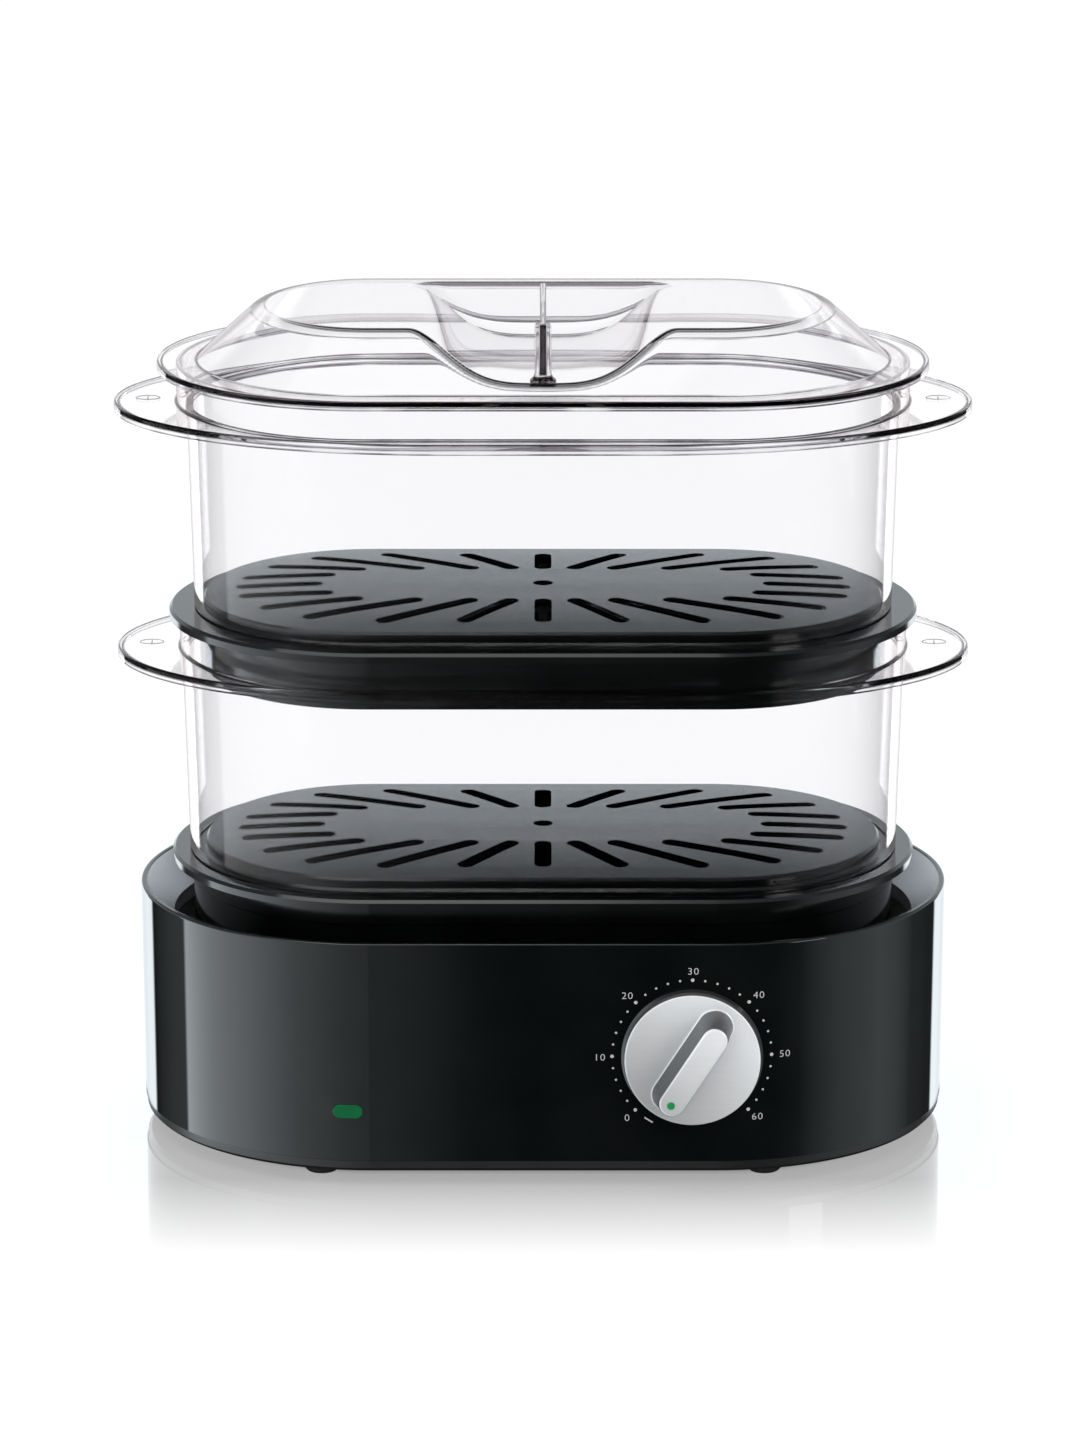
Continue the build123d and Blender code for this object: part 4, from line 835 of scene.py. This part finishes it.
track = stations(96, 72)
plateau = oval_reach(track, SPINE_MM, *FLAT_TOP)
hollow = oval_reach(track, SPINE_MM, *FLAT_TOP_INSIDE)
edge = oval_reach(track, SPINE_MM, *FLANGE)
steady = np.ones_like(edge)
inner_r, top_inside, lip = DOME_R - CLEAR_WALL, DOME_TOP - CLEAR_WALL, edge - CLEAR_WALL
slant = (plateau - DOME_R) / (DOME_TOP - LID_SEAT)
hollow_slant = (hollow - inner_r) / (top_inside - (LID_SEAT - 1))
section = (
    (0.0, DOME_TOP, 0), (plateau, DOME_TOP, 9.0),
    (DOME_R + FLANGE_OVER * slant, LID_SEAT + FLANGE_OVER, 1.2), (edge, LID_SEAT + FLANGE_OVER, 0.9),
    (edge, LID_SEAT - FLANGE_UNDER, 0.6), (lip, LID_SEAT - FLANGE_UNDER, 0.5), (lip, LID_SEAT, 0.5),
    (inner_r + hollow_slant, LID_SEAT, 0.7), (hollow, top_inside, 7.0), (0.0, top_inside, 0),
)
corners = np.stack([np.stack([steady * r, steady * z], axis=-1) for r, z, _ in section], axis=1)
radii = [radius for _, _, radius in section[1:-1]]
profile = rounded(corners, radii, closed=False)
per_corner = ARC_POINTS + 2
cuts = dict(zip((0, per_corner, 2 * per_corner, 7 * per_corner, 8 * per_corner), CUTS))
profile = divided(profile, cuts)
marks = divided(np.pad(edge_marks(radii), 1)[:, None], cuts)[:, 0]
top_rows = sum(CUTS[:3]) + 4 * per_corner
sides = zip(pressed(track, profile[:, :top_rows], 0.0), pressed(track, profile[:, top_rows:], CLEAR_WALL))
pressed_profile, crease, kept = (np.concatenate(pair, axis=1) for pair in sides)
dome = carried(track, pressed_profile)
dome_marks = np.maximum(marks * kept, crease)
print("dome grid", dome.shape, "lowest trough", round(float(trough(np.zeros(1), 0)[0]), 2))

# %% [markdown]
# The rib is a thin wall with a thicker post at its front end, which flares into the floor of the trough. It
# leans back in front and runs out on the slope behind, so its outline is worked out for each height and
# stacked up; the last levels shrink a little, which rounds the top edge. One face closes each end.

# %% Grip rib
RIB_HALF_THICK = 1.3
POST_HALF_WIDTH = 3.4
POST_LENGTH = 6.0
POST_FLARE = 2.0
FLARE_HEIGHT = 3.0
# edge mark of the rib's top rounding: how much painted shade it gets
POST_EDGE = 0.25
RIB_FRONT = 44.0
RIB_LEAN = 24.5 / 20.0
RIB_ROUND = 0.7
RIB_SINK = 0.05


def rib_points(foot, top):
    """Outline at each height. In front it reaches L = front + lean * (top - z), behind it ends where the
    trough's floor has that height. All of it moves inwards by r (1 - cos t) while the height ends with
    top - r (1 - sin t), a quarter turn t. Over the lowest 3 mm the post widens with the square."""
    turn = np.radians(np.linspace(0, 90, 5))
    straight = np.linspace(foot, top - 1.5, 16)
    shrink = RIB_ROUND * np.concatenate([0 * straight, 1 - np.cos(turn)])[:, None]
    level = np.concatenate([straight, top - RIB_ROUND * (1 - np.sin(turn))])[:, None]
    flare = POST_FLARE * np.maximum(1 - (level - foot) / FLARE_HEIGHT, 0) ** 2
    behind = np.linspace(15.0, 45.0, 301)
    back = np.interp(level + RIB_SINK, trough_floor(0.0, behind, 0.0), behind) - shrink
    long = RIB_FRONT + RIB_LEAN * (top - level) - shrink
    short = long - POST_LENGTH + 2 * shrink - flare
    thin = RIB_HALF_THICK - shrink
    wide = POST_HALF_WIDTH - shrink + flare
    right = [(wide, -long), (wide, -short), (thin, -short), (thin, back)]
    left = [(-x, y) for x, y in right[::-1]]
    corners = np.stack([np.concatenate(corner, axis=1) for corner in right + left], axis=1)
    radii = [1.0, 1.0, 0.6, 0.55, 0.55, 0.6, 1.0, 1.0]
    outline = rounded(corners, radii)
    height = np.broadcast_to(level[:, :, None], outline[..., :1].shape)
    marks = POST_EDGE * np.maximum(edge_marks(radii)[:, None], (shrink[:, 0] > 0)[None, :])
    return MM * np.concatenate([outline, height], axis=-1).transpose(1, 0, 2), marks


lid_shell = grid_piece("lid_shell", dome, clear_wall, dome_marks)
rib_foot = DOME_TOP - TROUGH_DEPTH - RIB_SINK
rib_grid, rib_marks = rib_points(rib_foot, DOME_TOP)
rib = grid_piece("lid_grip_rib", rib_grid, clear_wall, rib_marks, capped=True)
for piece in (lid_shell, rib):
    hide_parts("lid")
    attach(piece, "lid")

# %% [markdown]
# ## Painting the parts
# Every CAD part keeps its mesh. Only the material in its slot is exchanged for the finish made above.

# %% Give each part its finish
PAINT = {
    gloss_black: ["base_housing"],
    grained_black: ["base_cover", "lamp_holder"],
    foot_rubber: ["feet", "cord_bushing"],
    tank_black: ["water_tank"],
    satin_black: ["drip_tray"],
    lower_black: ["lower_tray"],
    upper_black: ["upper_tray"],
    clear_wall: ["lower_basket", "upper_basket", "lid"],
    knob_black: ["knob_core"],
    silver_satin: ["knob_cap"],
    pointer_green: ["knob_pointer"],
    lens_green: ["indicator_lens"],
    stainless: ["heater_plate", "heater_clamp", "timer_bracket"],
    screw_steel: ["cover_screws", "heater_screws", "timer_screws"],
    element_steel: ["heater_tube", "thermostat", "thermal_fuse"],
    silicone_red: ["heater_gasket"],
    timer_grey: ["timer_case"],
    bell_steel: ["timer_bell"],
    shaft_brass: ["timer_shaft"],
    lamp_glass: ["lamp_tube"],
    nylon_white: ["terminal_block"],
    wire_blue: ["wires"],
}

for finish, names in PAINT.items():
    for name in names:
        part = nodes[name]
        if not part.material_slots:
            part.data.materials.append(finish)
        for slot in part.material_slots:
            slot.material = finish
painted = {name for names in PAINT.values() for name in names}
print("painted", len(painted), "parts; left bare:", sorted(set(nodes) - painted))

# %% [markdown]
# ## The minute dial
# The dial is printed on the housing in pale grey ink: a large dot with a number every ten minutes, four
# small dots between, and a short dash where the timer is off. A picture of it would blur in close-ups, so
# the ink is real, a few hundredths of a millimetre thick. It has to follow the wall, which is flat in
# front and round at the ends, so it is first laid out flat and then wrapped.

# %% Wrapping a flat layout round the housing
INK = 0.00006
TAPER = 0.0007
SEAM = base_low.z


def wrap(u, z, lift):
    """Point on the housing at a distance u along its wall from the middle of the front, at a height z.
    Up to the spine's end the wall is flat, y = -R. Beyond it the rest of u becomes an angle, rest / R,
    about the spine's end. R grows evenly from the seam to the rim. The lift is added to R."""
    radius = RIM_R - TAPER * (base_high.z - z) / (base_high.z - SEAM)
    angle = np.maximum(u - SPINE, 0.0) / radius
    x = np.minimum(u, SPINE) + (radius + lift) * np.sin(angle)
    return np.stack([x, -(radius + lift) * np.cos(angle), z], axis=-1)


print("wall: radius", round(RIM_R, 4), "spine", round(SPINE, 4))

# %% [markdown]
# A dot is a low dome. Its profile runs from the top, over the edge and back under to the middle of its
# foot, and is turned round: a two-parameter grid, made for all the dots at once.

# %% Dots
DIAL_X = 0.062
DIAL_Z = 0.0571
DIAL_R = 0.0333
ZERO_ANGLE = 225.0
STEP = 9.0


def dots(name, angles, size):
    """Domes in a circle. Row k of the profile has radius s_k times the size and height h_k times the ink's;
    around it the angle runs evenly. The first and last rows are single points, so the form is closed."""
    turn = np.radians(angles)[:, None, None]
    around = np.linspace(0, 2 * np.pi, 16, endpoint=False)[None, None, :]
    share = np.array([0.5, 0.85, 1.0, 1.0])[None, :, None]
    height = np.array([1.0, 0.85, 0.45, 0.0])[None, :, None]
    u = DIAL_X + DIAL_R * np.cos(turn) + size * share * np.cos(around)
    z = DIAL_Z + DIAL_R * np.sin(turn) + size * share * np.sin(around)
    rings = wrap(u, z, height * INK + 0 * around)
    middle_u = (DIAL_X + DIAL_R * np.cos(turn))[:, 0, 0]
    middle_z = (DIAL_Z + DIAL_R * np.sin(turn))[:, 0, 0]
    tops, feet = wrap(middle_u, middle_z, np.full(len(angles), INK)), wrap(middle_u, middle_z, 0 * middle_u)
    count, rows, sides = rings.shape[:3]
    points = np.concatenate([rings.reshape(-1, 3), tops, feet])
    index = np.arange(count * rows * sides).reshape(count, rows, sides)
    near, after = index, np.roll(index, -1, axis=2)
    quads = np.stack([near[:, :-1], near[:, 1:], after[:, 1:], after[:, :-1]], axis=-1).reshape(-1, 4)
    top = np.broadcast_to(count * rows * sides + np.arange(count)[:, None], (count, sides))
    foot = top + count
    caps = np.concatenate([
        np.stack([top, near[:, 0], after[:, 0]], axis=-1).reshape(-1, 3),
        np.stack([foot, after[:, -1], near[:, -1]], axis=-1).reshape(-1, 3),
    ])
    mesh = bpy.data.meshes.new(name)
    mesh.from_pydata(points.tolist(), [], quads.tolist() + caps.tolist())
    return mesh


marks = np.arange(31)
large = dots("dial_large_dots", ZERO_ANGLE - STEP * marks[::5], 0.00075)
small = dots("dial_small_dots", ZERO_ANGLE - STEP * marks[marks % 5 > 0], 0.00048)
print("dots:", len(large.polygons) + len(small.polygons), "faces")

# %% [markdown]
# The numbers start as text. A text object becomes a mesh first, and then its points are laid on the
# wall like the dots, so each digit bends with it. All marks are one print, so they end up in one mesh.

# %% Numbers and the off dash
NUMBERS = {
    "0": (-27.0, -27.2), "10": (-38.5, -0.6), "20": (-27.1, 26.4), "30": (0.2, 37.0),
    "40": (27.6, 26.3), "50": (39.0, -0.2), "60": (27.4, -27.0),
}
DIGIT_SIZE = 0.0042
DIGIT_STRETCH = 1.1


def number(text, right, rise):
    """Text centred at a place of the dial in millimetres; its depth becomes the ink's thickness."""
    curve = bpy.data.curves.new("dial_text", "FONT")
    curve.body = text
    curve.size = DIGIT_SIZE
    curve.align_x = "CENTER"
    curve.align_y = "CENTER"
    curve.extrude = INK / 2
    curve.offset = -0.00005
    curve.space_character = 1.12
    curve.resolution_u = 4
    holder = bpy.data.objects.new("dial_text", curve)
    mesh = bpy.data.meshes.new_from_object(holder)
    flat = np.empty(len(mesh.vertices) * 3)
    mesh.vertices.foreach_get("co", flat)
    x, y, z = flat.reshape(-1, 3).T
    points = wrap(DIAL_X + MM * right + DIGIT_STRETCH * x, DIAL_Z + MM * rise + y, z + INK / 2)
    mesh.vertices.foreach_set("co", points.ravel())
    bpy.data.objects.remove(holder)
    return mesh


def dash(name, start, stop, width):
    """Short arc of the dial: the angle runs along it, and a four-cornered section is carried along."""
    angle = np.radians(np.linspace(start, stop, 9))[:, None]
    side = np.array([-0.5, 0.5, 0.5, -0.5])[None, :] * width
    lift = np.array([0.0, 0.0, INK, INK])[None, :] + 0 * angle
    points = wrap(DIAL_X + (DIAL_R + side) * np.cos(angle), DIAL_Z + (DIAL_R + side) * np.sin(angle), lift)
    index = np.arange(points.shape[0] * 4).reshape(-1, 4)
    near, after = index, np.roll(index, -1, axis=1)
    sides = np.stack([near[:-1], after[:-1], after[1:], near[1:]], axis=-1).reshape(-1, 4)
    ends = [index[0, ::-1].tolist(), index[-1].tolist()]
    mesh = bpy.data.meshes.new(name)
    mesh.from_pydata(points.reshape(-1, 3).tolist(), [], sides.tolist() + ends)
    return mesh


marks_made = [large, small, dash("dial_off_dash", 233.8, 240.8, 0.0006)]
marks_made += [number(text, *place) for text, place in NUMBERS.items()]
joined = bmesh.new()
for mesh in marks_made:
    joined.from_mesh(mesh)
    bpy.data.meshes.remove(mesh)
bmesh.ops.remove_doubles(joined, verts=joined.verts, dist=1e-7)
bmesh.ops.recalc_face_normals(joined, faces=joined.faces)
dial_mesh = bpy.data.meshes.new("dial_print")
joined.to_mesh(dial_mesh)
joined.free()
dial = bpy.data.objects.new("dial_print", dial_mesh)
scene.collection.objects.link(dial)
dial_mesh.materials.append(moulded("dial_ink", (0.5, 0.5, 0.5), (0.56, 0.56, 0.56), 0.5, 0.0002, 0.000004))
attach(dial, "base")
print("dial print:", len(dial_mesh.polygons), "faces")

# %% [markdown]
# ## Closing the scene
# The box of the dressed steamer has to stay inside the CAD box.

# %% Finish
print("scene finished")
